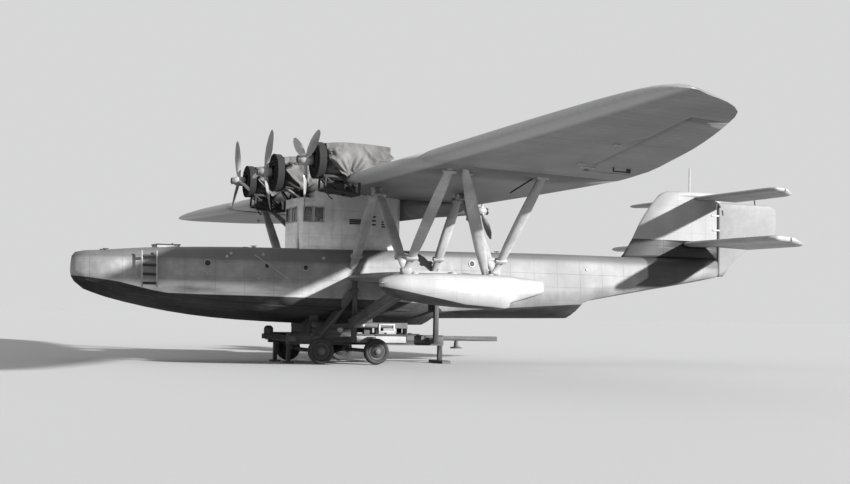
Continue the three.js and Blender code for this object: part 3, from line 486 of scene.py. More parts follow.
def plating(finish, frame_spacing, strake_spacing, depth=0.0012):
    """Riveted sheet: seams across and along, and rows of rivets beside them."""
    across = finish.seams(finish.x, frame_spacing, 0.012)
    along = finish.seams(finish.z, strake_spacing, 0.01, 0.21)
    lines = finish.maths("MAXIMUM", across, along)
    beside = finish.seams(finish.x, frame_spacing, 0.05)
    rivets = finish.maths("MULTIPLY", beside, finish.seams(finish.z, 0.06, 0.018))
    finish.bump(rivets, depth * 0.5)
    finish.bump(finish.maths("SUBTRACT", 1.0, lines), depth)
    return lines


def make_hull_paint():
    """Weathered silver over a black bottom, with light and shade painted in: the stretch in the wing's shade
    lighter than the sunlit stretch aft, a sunlit bow, a shaded band under the deck edge, a pale band above
    the waterline that is partly wear, and the lower tailplane's shadow on the tail.
    """
    finish = Finish("hull_paint", 0.2, 0.6, specular=0.25)
    # Painted light: the stretch forward of x -9.5 lies in the wing's shade and gets the lighter grey; the
    # sunlit stretch aft of x -12.5 gets the darker grey.
    aft = finish.stretch_to(finish.x, x_at(-9.5), x_at(-12.5))
    shade_lifted_grey = finish.mix(finish.patches(1.6, (1, 1, 1.6)), grey(0.18), grey(0.26))
    silver = finish.mix(finish.patches(1.3, (1, 1, 1.6)), grey(0.14), grey(0.2))
    light = finish.mix(aft, shade_lifted_grey, silver)
    # Painted sunlight: the bow grows lighter forward of x -2.3, where the sun falls on it.
    bow = finish.stretch_to(finish.x, x_at(-2.3), x_at(-1.5))
    light = finish.mix(bow, light, finish.mix(finish.patches(2.4), grey(0.2), grey(0.32)))
    # Painted shade, with some darker deck paint: a dark band under the deck edge, above z 3.14 forward and
    # above z 3.5 aft of x -11.
    rim = finish.stretch_to(finish.x, x_at(-8.5), x_at(-11.0), z_at(3.14), z_at(3.5))
    deck = finish.stretch_to(finish.maths("SUBTRACT", finish.z, rim), -0.02, 0.05)
    light = finish.mix(finish.maths("MULTIPLY", deck, 0.72), light, grey(0.06))
    streaks = finish.patches(3.0, (1.4, 1.4, 0.18), low=0.42, high=0.7)
    light = finish.mix(finish.maths("MULTIPLY", streaks, 0.35), light, grey(0.09))
    grime = finish.patches(9.0, (1, 1, 1), detail=6.0)
    light = finish.mix(finish.maths("MULTIPLY", grime, 0.3), light, grey(0.1))
    # A pale band above the waterline between x -7.6 and -5.4: partly wear, partly painted light reflected up
    # from the floor.
    waterline_band = finish.stretch_to(finish.z, z_at(2.56), z_at(2.36))
    reach = finish.stretch_to(finish.x, x_at(-7.6), x_at(-5.4))
    wear_and_floor_light = finish.maths("MULTIPLY", finish.maths("MULTIPLY", waterline_band, reach),
                        finish.patches(3.4, (0.35, 1, 1.6), low=0.24, high=0.54))
    light = finish.mix(wear_and_floor_light, light, grey(0.55))
    lines = plating(finish, 0.92, 0.46)
    light = finish.mix(finish.maths("MULTIPLY", lines, 0.4), light, grey(0.06))
    # Painted shadow: the lower tailplane's shadow on the hull's tail, nearly black, aft of its S-shaped front
    # edge and above the line where it ends over the stern.
    edge = finish.stretch_to(finish.z, z_at(2.72), z_at(3.1), x_at(-19.2), x_at(-19.9))
    painted_tail_shadow = finish.stretch_to(finish.maths("SUBTRACT", edge, finish.x), 0, 0.05)
    shadow_end_height = finish.stretch_to(finish.x, x_at(-21.2), x_at(-22.93), z_at(2.75), z_at(3.77))
    above = finish.stretch_to(finish.maths("SUBTRACT", finish.z, shadow_end_height), 0, 0.03)
    painted_tail_shadow = finish.maths("MULTIPLY", painted_tail_shadow, above)
    light = finish.mix(finish.maths("MULTIPLY", painted_tail_shadow, 0.85), light, grey(0.018))
    black = finish.mix(finish.patches(4.0, (0.3, 1, 1)), grey(0.016), grey(0.034))
    scuffs = finish.patches(14.0, (0.5, 1, 1), detail=8.0, low=0.5, high=0.75)
    black = finish.mix(finish.maths("MULTIPLY", scuffs, 0.5), black, grey(0.06))
    bottom = below_line(finish, PAINT_LINE)
    finish.colour(finish.mix(bottom, light, black))
    finish.roughness(finish.stretch_to(bottom, 0, 1, 0.55, 0.7))
    return finish.material


def make_float_paint():
    """Fresh silver with seams over a black bottom, both in soft patches."""
    finish = Finish("float_paint", 0.3, 0.5, specular=0.25)
    light = finish.mix(finish.patches(2.2), grey(0.25), grey(0.31))
    fine = finish.patches(14.0, detail=6.0)
    light = finish.mix(finish.maths("MULTIPLY", fine, 0.15), light, grey(0.2))
    lines = plating(finish, 0.7, 0.42)
    light = finish.mix(finish.maths("MULTIPLY", lines, 0.35), light, grey(0.16))
    black = finish.mix(finish.patches(6.0, (0.3, 1, 1)), grey(0.02), grey(0.04))
    finish.colour(finish.mix(below_line(finish, FLOAT_LINE), light, black))
    return finish.material


# The fin's foot is unpainted darker sheet below this height.
FIN_FOOT_Z = 4.52


def make_fin_paint():
    """Silver above; the fin's foot is unpainted darker sheet, with painted shade that darkens it aft towards
    the tailplane.
    """
    finish = Finish("fin_paint", 0.22, 0.55, specular=0.25)
    light = finish.mix(finish.patches(2.0), grey(0.19), grey(0.23))
    fine = finish.patches(14.0, detail=6.0)
    light = finish.mix(finish.maths("MULTIPLY", fine, 0.2), light, grey(0.18))
    lines = plating(finish, 0.6, 0.5)
    light = finish.mix(finish.maths("MULTIPLY", lines, 0.3), light, grey(0.13))
    depth = finish.maths("SUBTRACT", z_at(FIN_FOOT_Z), finish.z)
    foot = finish.stretch_to(depth, 0, 0.006)
    # Painted shade: the foot grows darker aft, where the lower tailplane's shadow falls.
    back = finish.stretch_to(finish.x, x_at(-19.8), x_at(-21.2))
    foot_sheet_and_shade = finish.mix(back, grey(0.05), grey(0.012))
    foot_sheet_and_shade = finish.mix(finish.maths("MULTIPLY", fine, 0.3), foot_sheet_and_shade, grey(0.03))
    finish.colour(finish.mix(foot, light, foot_sheet_and_shade))
    return finish.material


def make_plain_paint(name, low, high, roughness, seam=0.0):
    """Plain weathered paint, with seams where a spacing is given."""
    finish = Finish(name, high, roughness)
    patches = finish.patches(2.2)
    fine = finish.patches(14.0, detail=6.0)
    colour = finish.mix(patches, grey(low), grey(high))
    colour = finish.mix(finish.maths("MULTIPLY", fine, 0.3), colour, grey(low * 0.7))
    if seam:
        lines = plating(finish, seam, seam * 0.6)
        colour = finish.mix(finish.maths("MULTIPLY", lines, 0.5), colour, grey(low * 0.5))
    finish.bump(fine, 0.0004)
    finish.colour(colour)
    return finish.material


def make_wing_skin():
    finish = Finish("wing_skin", 0.34, 0.5)
    patches = finish.patches(0.9, (1.6, 0.7, 1))
    fine = finish.patches(12.0, detail=6.0)
    colour = finish.mix(patches, grey(0.1), grey(0.15))
    colour = finish.mix(finish.maths("MULTIPLY", fine, 0.3), colour, grey(0.07))
    streaks = finish.patches(2.2, (0.25, 1.5, 1), low=0.45, high=0.7)
    colour = finish.mix(finish.maths("MULTIPLY", streaks, 0.45), colour, grey(0.07))
    nose = finish.stretch_to(finish.x, x_at(-8.15), x_at(-7.95))
    colour = finish.mix(nose, colour, grey(0.3))
    ribs = finish.seams(finish.y, 0.35, 0.03)
    spars = finish.seams(finish.x, 1.4, 0.02)
    lines = finish.maths("MAXIMUM", ribs, spars)
    colour = finish.mix(finish.maths("MULTIPLY", lines, 0.4), colour, grey(0.2))
    finish.bump(ribs, 0.0015)
    finish.colour(colour)
    return finish.material


def make_floor():
    finish = Finish("pale_floor", 0.35, 0.9)
    return finish.material


def lay_floor(material):
    bpy.ops.mesh.primitive_plane_add(size=FLOOR_WIDTH, location=(0, 0, -FLOOR_DROP))
    floor = bpy.context.object
    floor.name = "floor"
    floor.data.materials.append(material)


def make_canvas():
    """Coarse weathered canvas with a woven surface and soft stains."""
    finish = Finish("canvas", 0.4, 0.9, specular=0.2)
    stains = finish.patches(1.8, (1, 1, 0.6))
    colour = finish.mix(stains, grey(0.1, 0.03), grey(0.17, 0.02))
    grime = finish.patches(7.0, (1, 1, 0.5), detail=6.0)
    colour = finish.mix(finish.maths("MULTIPLY", grime, 0.45), colour, grey(0.05))
    finish.colour(colour)
    waves = {"Vector": finish.place, "Scale": 160.0, "Distortion": 0.4}
    warp = finish.node("TexWave", waves, bands_direction="X").outputs[1]
    weft = finish.node("TexWave", waves, bands_direction="Z").outputs[1]
    finish.bump(finish.maths("ADD", warp, weft), 0.0006)
    finish.bump(finish.patches(5.0), 0.004)
    return finish.material


def make_tower_paint():
    """Bare bright sheet at the foot of the tower's front, with painted shade darkening it upwards towards the
    wing and aft.
    """
    finish = Finish("tower_paint", 0.5, 0.4)
    # Painted shade: the sheet grows darker upwards towards the wing's underside and aft.
    rise = finish.stretch_to(finish.z, z_at(3.6), z_at(5.2), 0.0, 0.75)
    back = finish.stretch_to(finish.x, x_at(-7.6), x_at(-9.2), 0.0, 0.6)
    shade_under_wing = finish.maths("ADD", rise, back)
    mottled = finish.maths("ADD", shade_under_wing, finish.stretch_to(finish.patches(2.6), 0, 1, -0.2, 0.2))
    colour = finish.mix(finish.stretch_to(mottled, 0, 1), grey(0.88), grey(0.33))
    fine = finish.patches(12.0, detail=6.0)
    colour = finish.mix(finish.maths("MULTIPLY", fine, 0.18), colour, grey(0.2))
    lines = plating(finish, 1.1, 0.78)
    finish.colour(finish.mix(finish.maths("MULTIPLY", lines, 0.45), colour, grey(0.14)))
    return finish.material


def make_glass():
    finish = Finish("cabin_glass", 0.5, 0.06)
    finish.fill(finish.shader.inputs["Transmission Weight"], 0.85)
    finish.colour(finish.mix(finish.patches(4.0), grey(0.35), grey(0.6)))
    finish.roughness(finish.stretch_to(finish.patches(9.0), 0, 1, 0.03, 0.16))
    return finish.material


# Engines: radiators, cylinder rows, bearers and covers

# Each front engine's shaft as y and z, and the x of its radiator's face.
FRONT_ENGINES = {"centre": (0.0, 6.12, -6.31), "left": (3.9, 6.16, -6.46), "right": (-3.9, 6.16, -6.46)}
RADIATOR_RADIUS = {"centre": 0.62, "left": 0.56, "right": 0.56}
REAR_SHAFT_Z = 5.22

# The core's share of a radiator's radius, the hole for the shaft, and the shutters' spacing and half their
# thickness.
CORE_SHARE = 0.92
SHAFT_HOLE = 0.31
SHUTTER_SPACING = 0.075
SHUTTER_HALF = 0.012

# The foremost cylinders' place, the spacing behind it and the number of cylinders in a bank.
FIRST_CYLINDER_X = -6.82
CYLINDER_SPACING = 0.135
CYLINDERS_IN_BANK = 6

# Half the distance between the two beams under an engine, how far their top and underside are below its
# shaft, and where a side engine's rear posts stand.
BEAM_HALF = 0.3
BEAM_TOP = 0.44
BEAM_LOW = 0.52
REAR_POST_X = -7.8

# The roof of the tower under the centre engine, and its posts' feet from the middle line.
ROOF_Z = 5.29
ROOF_FOOT_Y = 0.6


def make_radiator(place):
    """A drum with a rolled lip, upright shutters in front of a plain core, and a collar round the shaft."""
    y, z, x = FRONT_ENGINES[place]
    radius = RADIATOR_RADIUS[place]
    shell = turned(f"shell_{place}", [
        (radius * 0.9, -0.235), (radius * 0.96, -0.235), (radius * 0.985, -0.2), (radius * 0.985, -0.04),
        (radius, -0.025), (radius, -0.006), (radius * 0.97, 0.0), (radius * 0.93, -0.006),
        (radius * 0.93, -0.1), (radius * 0.9, -0.12),
    ], (x, y, z), (1, 0, 0), 40)
    core_radius = radius * CORE_SHARE
    core = turned(f"core_{place}", [(core_radius, -0.2), (core_radius, -0.1)], (x, y, z), (1, 0, 0), 40)
    collar = turned(f"collar_{place}", [(0.3, -0.1), (0.3, -0.02), (0.27, -0.008), (0.265, -0.09)],
                    (x, y, z), (1, 0, 0), 24)
    shutters = []
    reach = int(core_radius / SHUTTER_SPACING)
    for number in range(-reach, reach + 1):
        across = number * SHUTTER_SPACING
        half = math.sqrt(core_radius ** 2 - across ** 2)
        gap = math.sqrt(max(0.0, SHAFT_HOLE ** 2 - across ** 2))
        spans = [(-half, half)] if gap == 0.0 else [(-half, -gap), (gap, half)]
        for low, high in spans:
            if high - low > 0.05:
                shutters.append(slab(
                    f"shutter_{place}", (x - 0.075, y + across - SHUTTER_HALF, z + low),
                    (x - 0.025, y + across + SHUTTER_HALF, z + high), 0.004))
    rail = slab(f"shutter_rail_{place}", (x - 0.03, y - radius * 0.9, z + 0.36),
                (x - 0.012, y + radius * 0.9, z + 0.39))
    whole = joined(f"radiator_{place}_shuttered", [shell, core, collar, rail, *shutters])
    finish_piece(whole, RADIATOR_BLACK)
    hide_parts(f"radiator_{place}")


def make_cylinders(place):
    """Two banks of six cylinders on the crankcase, with their exhaust stubs."""
    y, z, _ = FRONT_ENGINES[place]
    x = FIRST_CYLINDER_X
    cylinder = turned("cylinder", [(0.085, 0.0), (0.09, 0.05), (0.075, 0.06), (0.075, 0.2), (0.095, 0.21),
                                   (0.095, 0.24), (0.05, 0.27)], (x, 0.3, z + 0.08), (0, 0.35, 1), 14)
    stub = rod("exhaust", (x, 0.36, z + 0.22), (x - 0.04, 0.45, z + 0.18), 0.035)
    bank = [joined("cylinder_pair", [cylinder, stub])]
    for row in range(1, CYLINDERS_IN_BANK):
        bank.append(copied(bank[0], f"cylinder_{row}", (-CYLINDER_SPACING * row, 0, 0)))
    banks = on_both_sides(joined("bank", bank), f"cylinders_{place}")
    banks.data.transform(Matrix.Translation((0, y * SCALE, 0)))
    finish_piece(banks, ENGINE_METAL)


def make_side_bearers(side):
    """The tube truss under a side engine, with its oil tank, cooler and hoses."""
    y, z, _ = FRONT_ENGINES["left"]
    members = []
    for across in (-BEAM_HALF, BEAM_HALF):
        beam = y + across
        rear = (REAR_POST_X, beam, 5.16)
        knee = (-6.72, beam, 5.3)
        front = (-6.74, beam, z - 0.5)
        wing_low = under("wing_centre", REAR_POST_X, beam, 5.2)
        members += [
            rod("post_rear", rear, (REAR_POST_X, beam, wing_low + 0.02), 0.04),
            rod("boom_lower", rear, knee, 0.04),
            rod("post_front", knee, front, 0.035),
            rod("brace_rear", (-7.72, beam, 5.18), (-7.2, beam, z - 0.46), 0.03),
            rod("brace_front", (-7.2, beam, 5.25), front, 0.03),
        ]
        members.append(slab("rail", (-6.66, beam - 0.04, z - BEAM_LOW), (-7.62, beam + 0.04, z - BEAM_TOP)))
    for x, height in ((REAR_POST_X, 5.17), (-6.72, 5.31)):
        members.append(rod("tie", (x, y - BEAM_HALF, height), (x, y + BEAM_HALF, height), 0.035))
    tank_rows = [(0.12, -0.3), (0.2, -0.27), (0.23, -0.2), (0.23, 0.2), (0.2, 0.27), (0.12, 0.3)]
    tank = turned("oil_tank", tank_rows, (-7.1, y, 5.4), (1, 0, 0), 20)
    cooler = slab("oil_cooler", (-7.5, y - 0.17, 5.14), (-7.74, y + 0.17, 5.44), 0.03)
    hoses = [
        pipe("hose", [(-7.3, y + 0.1, 5.5), (-7.42, y + 0.14, 5.56), (-7.55, y + 0.12, 5.4)], 0.025),
        pipe("drain", [(-6.9, y, 5.2), (-6.92, y + 0.02, 5.1), (-7.05, y + 0.05, 5.02)], 0.02),
    ]
    whole = joined(f"bearers_{side}", members + [tank, cooler, *hoses])
    if side == "right":
        whole = flipped(whole)
    finish_piece(whole, BLACK_PAINT)


def make_centre_bearers():
    """Struts from the tower's roof up to the middle engine, with its beams, oil tank and water pipes."""
    z = FRONT_ENGINES["centre"][1]
    roof = ROOF_Z
    dark = []
    for side in (-1, 1):
        foot = ROOF_FOOT_Y * side
        head = BEAM_HALF * side
        dark += [
            rod("post_front", (-7.05, foot, roof), (-6.68, head, z - 0.48), 0.035),
            rod("post_middle", (-7.05, foot, roof), (-7.1, head, z - 0.48), 0.035),
            rod("post_rear", (-7.42, foot, roof), (-7.1, head, z - 0.48), 0.035),
            slab("rail", (-6.6, head - 0.04, z - BEAM_LOW), (-7.5, head + 0.04, z - BEAM_TOP)),
            pipe("water_pipe", [(-6.62, head * 1.2, z - 0.2), (-6.7, head * 1.9, z - 0.42),
                                (-6.95, head * 2.2, z - 0.55), (-7.35, head * 2.1, z - 0.56)], 0.04),
        ]
    dark.append(rod("tie_front", (-6.68, -BEAM_HALF, z - 0.5), (-6.68, BEAM_HALF, z - 0.5), 0.03))
    tank_rows = [(0.08, -0.24), (0.15, -0.2), (0.16, -0.1), (0.16, 0.1), (0.15, 0.2), (0.08, 0.24)]
    dark.append(turned("oil_tank", tank_rows, (-7.2, 0, 5.47), (1, 0, 0), 18))
    for side in (-1, 1):
        foot = ROOF_FOOT_Y * side
        dark.append(slab("foot", (-6.98, foot - 0.07, roof), (-7.12, foot + 0.07, roof + 0.03)))
    finish_piece(joined("bearers_centre", dark), BLACK_PAINT)
    light = [rod("stay", (-6.66, 0.34 * side, z - 0.5), (-7.0, 0.78 * side, roof), 0.028) for side in (-1, 1)]
    finish_piece(joined("bearer_stays", light), SILVER_PAINT)


# A cover's width over the ridge and its lower edge. Columns: place aft of its front edge, height of the ridge
# over the crankshaft, half-width of the flat top, half-width at the foot, height of the lower edge.
COVER_ROWS = [
    (0.0, 0.52, 0.3, 0.62, 0.02), (0.25, 0.55, 0.33, 0.66, -0.2), (0.6, 0.57, 0.35, 0.6, -0.52),
    (0.85, 0.57, 0.36, 0.6, -0.56), (1.3, 0.56, 0.36, 0.67, -0.2), (1.7, 0.54, 0.34, 0.66, -0.03),
    (2.05, 0.52, 0.32, 0.62, 0.1),
]
COVER_TIE = (0.72, -0.5)

# How far a cover's front edge is behind the radiator's face, and the share of its half-width, from the middle
# to the foot, that lies on top, with the drop across it.
COVER_SETBACK = 0.27
CROWN_SHARE = 0.28
CROWN_DROP = 0.02

# What holds the canvas while it settles: the reach of a tie, and the ends of the lower edge.
TIE_REACH = 0.12
FRONT_HELD_TO = 0.06
REAR_HELD_FROM = 1.98


def between_rows(rows, place):
    """The row of a table at a place between two of its rows."""
    for first, last in zip(rows, rows[1:]):
        if place <= last[0]:
            share = (place - first[0]) / (last[0] - first[0])
            return [a + (b - a) * share for a, b in zip(first, last)]
    return rows[-1]


def cover_point(row, around):
    """A place on the cover as offsets across and up, from one foot (-1) over the top to the other (1)."""
    _, top, top_half, foot_half, foot = row
    side = math.copysign(1.0, around)
    share = abs(around)
    if share < CROWN_SHARE:
        return side * top_half * share / CROWN_SHARE, top - CROWN_DROP * (share / CROWN_SHARE) ** 2
    fall = (share - CROWN_SHARE) / (1 - CROWN_SHARE)
    width = top_half + (foot_half - top_half) * math.sin(min(1.0, fall * 2.2) * math.pi / 2)
    return side * width, top - CROWN_DROP + (foot - top + CROWN_DROP) * fall


def make_cover(place):
    """A tarpaulin drawn tight over the ridge and gathered to a tie below each side."""
    y, z, front = FRONT_ENGINES[place]
    front -= COVER_SETBACK
    columns, rows = 44, 60
    deselect()
    bpy.ops.mesh.primitive_grid_add(x_subdivisions=columns, y_subdivisions=rows, size=2)
    cloth = bpy.context.object
    cloth.name = f"cover_{place}_canvas"
    length = COVER_ROWS[-1][0]
    tie_aft, tie_rise = COVER_TIE
    for vertex in cloth.data.vertices:
        aft = (1 - vertex.co.x) / 2 * length
        row = between_rows(COVER_ROWS, aft)
        across, rise = cover_point(row, vertex.co.y)
        angle = math.atan2(aft - tie_aft, rise - tie_rise)
        reach = math.hypot(aft - tie_aft, rise - tie_rise)
        depth = 0.048 * math.exp(-((reach - 0.35) / 0.45) ** 2) * (1 if rise < row[1] - 0.08 else 0)
        fold = depth * math.sin(13 * angle + 2.1 * math.sin(5 * angle + y))
        tuck = 0.16 * math.exp(-((reach / 0.3) ** 2))
        side = math.copysign(1, across)
        vertex.co = at(front - aft, y + across + side * (fold - tuck), z + rise)
    settle(cloth, place)
    choose(cloth)
    apply_modifier(cloth, "SOLIDIFY", thickness=0.012 * SCALE, offset=-1)
    apply_modifier(cloth, "SUBSURF", levels=1)
    finish_piece(cloth, CANVAS, angle=80)
    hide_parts(f"cover_{place}")
    return cloth


def settle(cloth, place):
    """Lets the canvas hang and crease over its engine, held along the ridge, the ties and the corners."""
    y, z, front = FRONT_ENGINES[place]
    group = cloth.vertex_groups.new(name="held")
    for vertex in cloth.data.vertices:
        aft = (x_at(front - COVER_SETBACK) - vertex.co.x) / SCALE
        rise = vertex.co.z / SCALE - z
        near_tie = math.hypot(aft - COVER_TIE[0], rise - COVER_TIE[1]) < TIE_REACH
        on_ridge = rise > between_rows(COVER_ROWS, aft)[1] - 0.025
        at_end = aft < FRONT_HELD_TO or aft > REAR_HELD_FROM
        at_corner = at_end and rise < between_rows(COVER_ROWS, aft)[4] + 0.06
        if near_tie or on_ridge or at_corner:
            group.add([vertex.index], 1.0, "REPLACE")
    choose(cloth)
    modifier = cloth.modifiers.new("cloth", "CLOTH")
    settings = modifier.settings
    settings.quality = 6
    settings.mass = 0.3
    settings.tension_stiffness = 25
    settings.compression_stiffness = 25
    settings.bending_stiffness = 0.4
    settings.vertex_group_mass = "held"
    settings.shrink_min = -0.025
    settings.effector_weights.gravity = 0.35
    modifier.collision_settings.use_collision = False
    modifier.collision_settings.use_self_collision = False
    scene = bpy.context.scene
    for number in range(1, 19):
        scene.frame_set(number)
    bpy.ops.object.modifier_apply(modifier="cloth")
    scene.frame_set(1)
    cloth.vertex_groups.clear()


# Cockpit tower

TOWER_SIDE = 0.885
WINDOW_SILL = 4.55
WINDOW_HEAD = 5.0

# The louvred vents in the tower's sides as x, z, width and height.
TOWER_VENTS = [(-8.86, 4.59, 0.4, 0.12), (-9.51, 4.65, 0.14, 0.26), (-9.88, 4.55, 0.18, 0.16)]


def window_frame(name, low, high, bar=0.035):
    """Four bars round an opening, outside a wall. One axis of the corners is the wall's thickness."""
    (x0, y0, z0), (x1, y1, z1) = low, high
    bars = [
        slab("head", (x0, y0, z1 - bar * 0.2), (x1, y1, z1 + bar), 0.006),
        slab("sill", (x0, y0, z0 - bar), (x1, y1, z0 + bar * 0.2), 0.006),
    ]
    if abs(x1 - x0) > abs(y1 - y0):
        bars += [slab("jamb", (x, y0, z0), (x + bar, y1, z1), 0.006) for x in (x0, x1 - bar)]
    else:
        bars += [slab("jamb", (x0, y, z0), (x1, y + bar, z1), 0.006) for y in (y0, y1 - bar)]
    return joined(name, bars)


def dress_tower():
    sill, head = WINDOW_SILL, WINDOW_HEAD
    inner, outer = TOWER_SIDE - 0.02, TOWER_SIDE + 0.015
    port = joined("side_frames", [
        window_frame("side_frame_1", (-7.43, inner, sill), (-7.09, outer, head)),
        window_frame("side_frame_2", (-7.81, inner, sill), (-7.45, outer, head)),
    ])
    fronts = [
        window_frame("front_frame_1", (-6.99, 0.04, sill), (-6.955, 0.64, head)),
        window_frame("front_frame_2", (-6.99, -0.64, sill), (-6.955, -0.04, head)),
        slab("front_bar", (-6.985, 0.32, sill), (-6.958, 0.345, head), 0.005),
        slab("front_bar", (-6.985, -0.345, sill), (-6.958, -0.32, head), 0.005),
    ]
    frames = joined("window_frames", [on_both_sides(port, "side_frames"), *fronts])
    finish_piece(frames, SILVER_PAINT)
    vents = []
    for x, z, width, tall in TOWER_VENTS:
        (_, y, _), _ = on_side("tower_walls", x, z)
        for step in range(3):
            height = z - tall / 2 + tall * step / 2
            vents.append(slab("louvre", (x - width / 2, y - 0.03, height - 0.025),
                              (x + width / 2, y + 0.02, height + 0.025)))
    finish_pair("tower_louvres", vents, BLACK_PAINT)
    strip = []
    for z in (3.76, 4.02):
        strip.append(slab("strake", (-7.12, 0.878, z), (-9.38, 0.9, z + 0.03), 0.006))
    strip.append(slab("post", (-8.06, 0.878, 3.78), (-8.09, 0.9, 5.35), 0.006))
    finish_pair("tower_strakes", strip, TOWER_PAINT)


# Hull

# The portholes as x, z and radius, and the eyes for lines as x and z.
PORTHOLES = [(-3.93, 3.08, 0.12), (-5.8, 3.05, 0.1), (-7.05, 3.03, 0.1), (-12.83, 3.34, 0.12)]
HULL_EYES = [
    (-3.92, 2.75), (-5.52, 2.65), (-4.66, 3.4), (-4.53, 3.3), (-5.68, 3.4), (-7.65, 3.35), (-17.32, 3.28),
]

# The lashing line's upper end as x and z, how far it runs aft and down, and its number of spans.
LASHING_TOP = (-5.4, 3.38)
LASHING_RUN = 1.08
LASHING_DROP = 0.72
LASHING_SPANS = 8

# The foot of the boarding ladder as y and z, how far it leans in and rises, and the ends of its rungs.
LADDER_FOOT = (1.42, 2.3)
LADDER_LEAN = 0.2
LADDER_RISE = 1.1
LADDER_RUNGS = 4
RUNG_ENDS = (-1.95, -2.36)

# The chine is read aft of this place, and not in a stretch beside the bow hatch.
CHINE_FRONT = -0.3
HATCH_STRETCH = (-3.3, -2.5)


def chine_points(last_x):
    """The port chine from the bow to a place aft, in full-size metres."""
    widest = {}
    for vertex in frame["nodes"]["hull"].data.vertices:
        x = round(vertex.co.x, 3)
        if x not in widest or vertex.co.y > widest[x].y + 1e-5:
            widest[x] = vertex.co.copy()
    places = []
    hatch_back, hatch_front = HATCH_STRETCH
    for x in sorted(widest, reverse=True):
        full = (widest[x] - at(0, 0, 0)) / SCALE
        if CHINE_FRONT > full.x > last_x and not hatch_back < full.x < hatch_front:
            places.append(tuple(full))
    return places


def dress_hull():
    chine = pipe("chine", [(x, y + 0.005, z) for x, y, z in chine_points(-11.55)], 0.022)
    finish_piece(on_both_sides(chine, "chine_strips"), BLACK_PAINT)
    rims, panes = [], []
    for x, z, radius in PORTHOLES:
        place, normal = on_side("hull", x, z)
        rim = [(radius, -0.03), (radius, 0.012), (radius * 0.94, 0.024), (radius * 0.8, 0.024),
               (radius * 0.76, 0.008), (radius * 0.5, 0.008)]
        rims.append(turned("rim", rim, place, normal, 24))
        pane = [(radius * 0.74, 0.0), (radius * 0.74, 0.012), (radius * 0.6, 0.014)]
        panes.append(turned("pane", pane, place, normal, 20))
    finish_pair("porthole_rims", rims, SILVER_PAINT)
    finish_pair("porthole_panes", panes, BLACK_PAINT)
    studs = []
    stud = [(0.05, -0.02), (0.05, 0.01), (0.035, 0.03), (0.02, 0.035)]
    for x, z in HULL_EYES:
        place, normal = on_side("hull", x, z)
        studs.append(turned("stud", stud, place, normal, 12))
    finish_pair("hull_eyes", studs, PALE_STEEL)
    top_x, top_z = LASHING_TOP
    line = []
    for step in range(LASHING_SPANS + 1):
        x = top_x - LASHING_RUN * step / LASHING_SPANS
        z = top_z - LASHING_DROP * step / LASHING_SPANS
        line.append(on_side("hull", x, z)[0])
    lashing = pipe("lashing_line", [(x, y + 0.012, z) for x, y, z in line], 0.014)
    finish_piece(lashing, PALE_STEEL)


def dress_deck():
    """Cleats on the deck, the hatch's hinges and handle, and the ladder's thick rungs."""
    cleats = []
    for x, y in ((-1.0, 0.3), (-5.6, 0.5), (-14.2, 0.35)):
        top = on_top("hull", x, y)
        cleats += [
            slab("foot", (x - 0.06, y - 0.03, top - 0.02), (x + 0.06, y + 0.03, top + 0.01), 0.004),
            rod("post", (x, y, top), (x, y, top + 0.035), 0.016),
            rod("horn", (x - 0.09, y, top + 0.04), (x + 0.09, y, top + 0.04), 0.014),
        ]
    finish_pair("deck_cleats", cleats, BLACK_PAINT)
    knuckles = []
    for low in (-0.3, 0.14):
        knuckles.append(rod("knuckle", (-2.535, low, 3.634), (-2.535, low + 0.16, 3.634), 0.02, 12))
        knuckles.append(slab("strap", (-2.54, low + 0.02, 3.58), (-2.552, low + 0.14, 3.63), 0.004))
    finish_piece(joined("hatch_hinges", knuckles), STRUT_PAINT)
    handle = pipe("hatch_handle", [(-3.1, -0.09, 3.655), (-3.1, -0.09, 3.7), (-3.1, 0.0, 3.705),
                                   (-3.1, 0.09, 3.7), (-3.1, 0.09, 3.655)], 0.014, 3)
    finish_piece(handle, PALE_STEEL, BODIES["hatch_lid"])
    foot_y, foot_z = LADDER_FOOT
    front, back = RUNG_ENDS
    rungs = []
    for count in range(LADDER_RUNGS):
        share = (count + 0.4) / LADDER_RUNGS
        y = foot_y - LADDER_LEAN * share
        z = foot_z + LADDER_RISE * share
        rungs.append(rod("rung", (front, y, z), (back, y, z), 0.042, 14))
    finish_piece(joined("ladder_rungs", rungs), BLACK_PAINT)


# Struts and wing

# Where the front and rear strut frames stand, and where the outer wing panels begin.
STRUT_STATIONS = (-8.63, -11.45)
OUTER_PANEL_Y = 9.9

# The braces at the head of the outer struts, each from one place to another. The first two lie just inside
# the wing's underside.
WING_BRACES = [
    ((-9.45, 8.53, 5.58), (-10.92, 8.71, 5.52)),
    ((-10.92, 8.71, 5.52), (-10.98, 10.16, 5.56)),
    ((-11.37, 8.68, 5.5), (-10.49, 9.0, 5.01)),
]

# The plates under the wing as x and y. The aileron's push rod starts at the second.
WING_PLATES = [(-9.45, 8.53), (-10.9, 12.25), (-10.1, 15.4)]


def collar(x, low, high, share, length=0.12):
    """A collar round a strut between two places in the plane of y and z."""
    start, end = Vector((0, *low)), Vector((0, *high))
    middle = start.lerp(end, share)
    run = end - start
    piece = slab("collar", (x - 0.188, -length / 2, -0.074), (x + 0.188, length / 2, 0.074), 0.025)
    turn = Matrix.Rotation(math.atan2(run.z, run.y), 4, "X")
    piece.data.transform(Matrix.Translation(middle * SCALE) @ turn)
    return piece


def dress_struts():
    root, node, inner, outer = (1.3, 2.9), (6.02, 2.86), (3.45, 5.56), (9.4, 5.8)
    legs = [
        (root, inner, 0.2), (root, inner, 0.88), (node, inner, 0.16),
        (node, inner, 0.88), (node, outer, 0.13), (node, outer, 0.9),
    ]
    collars = [collar(x, low, high, share) for x in STRUT_STATIONS for low, high, share in legs]
    finish_pair("strut_collars", collars, STRUT_PAINT)


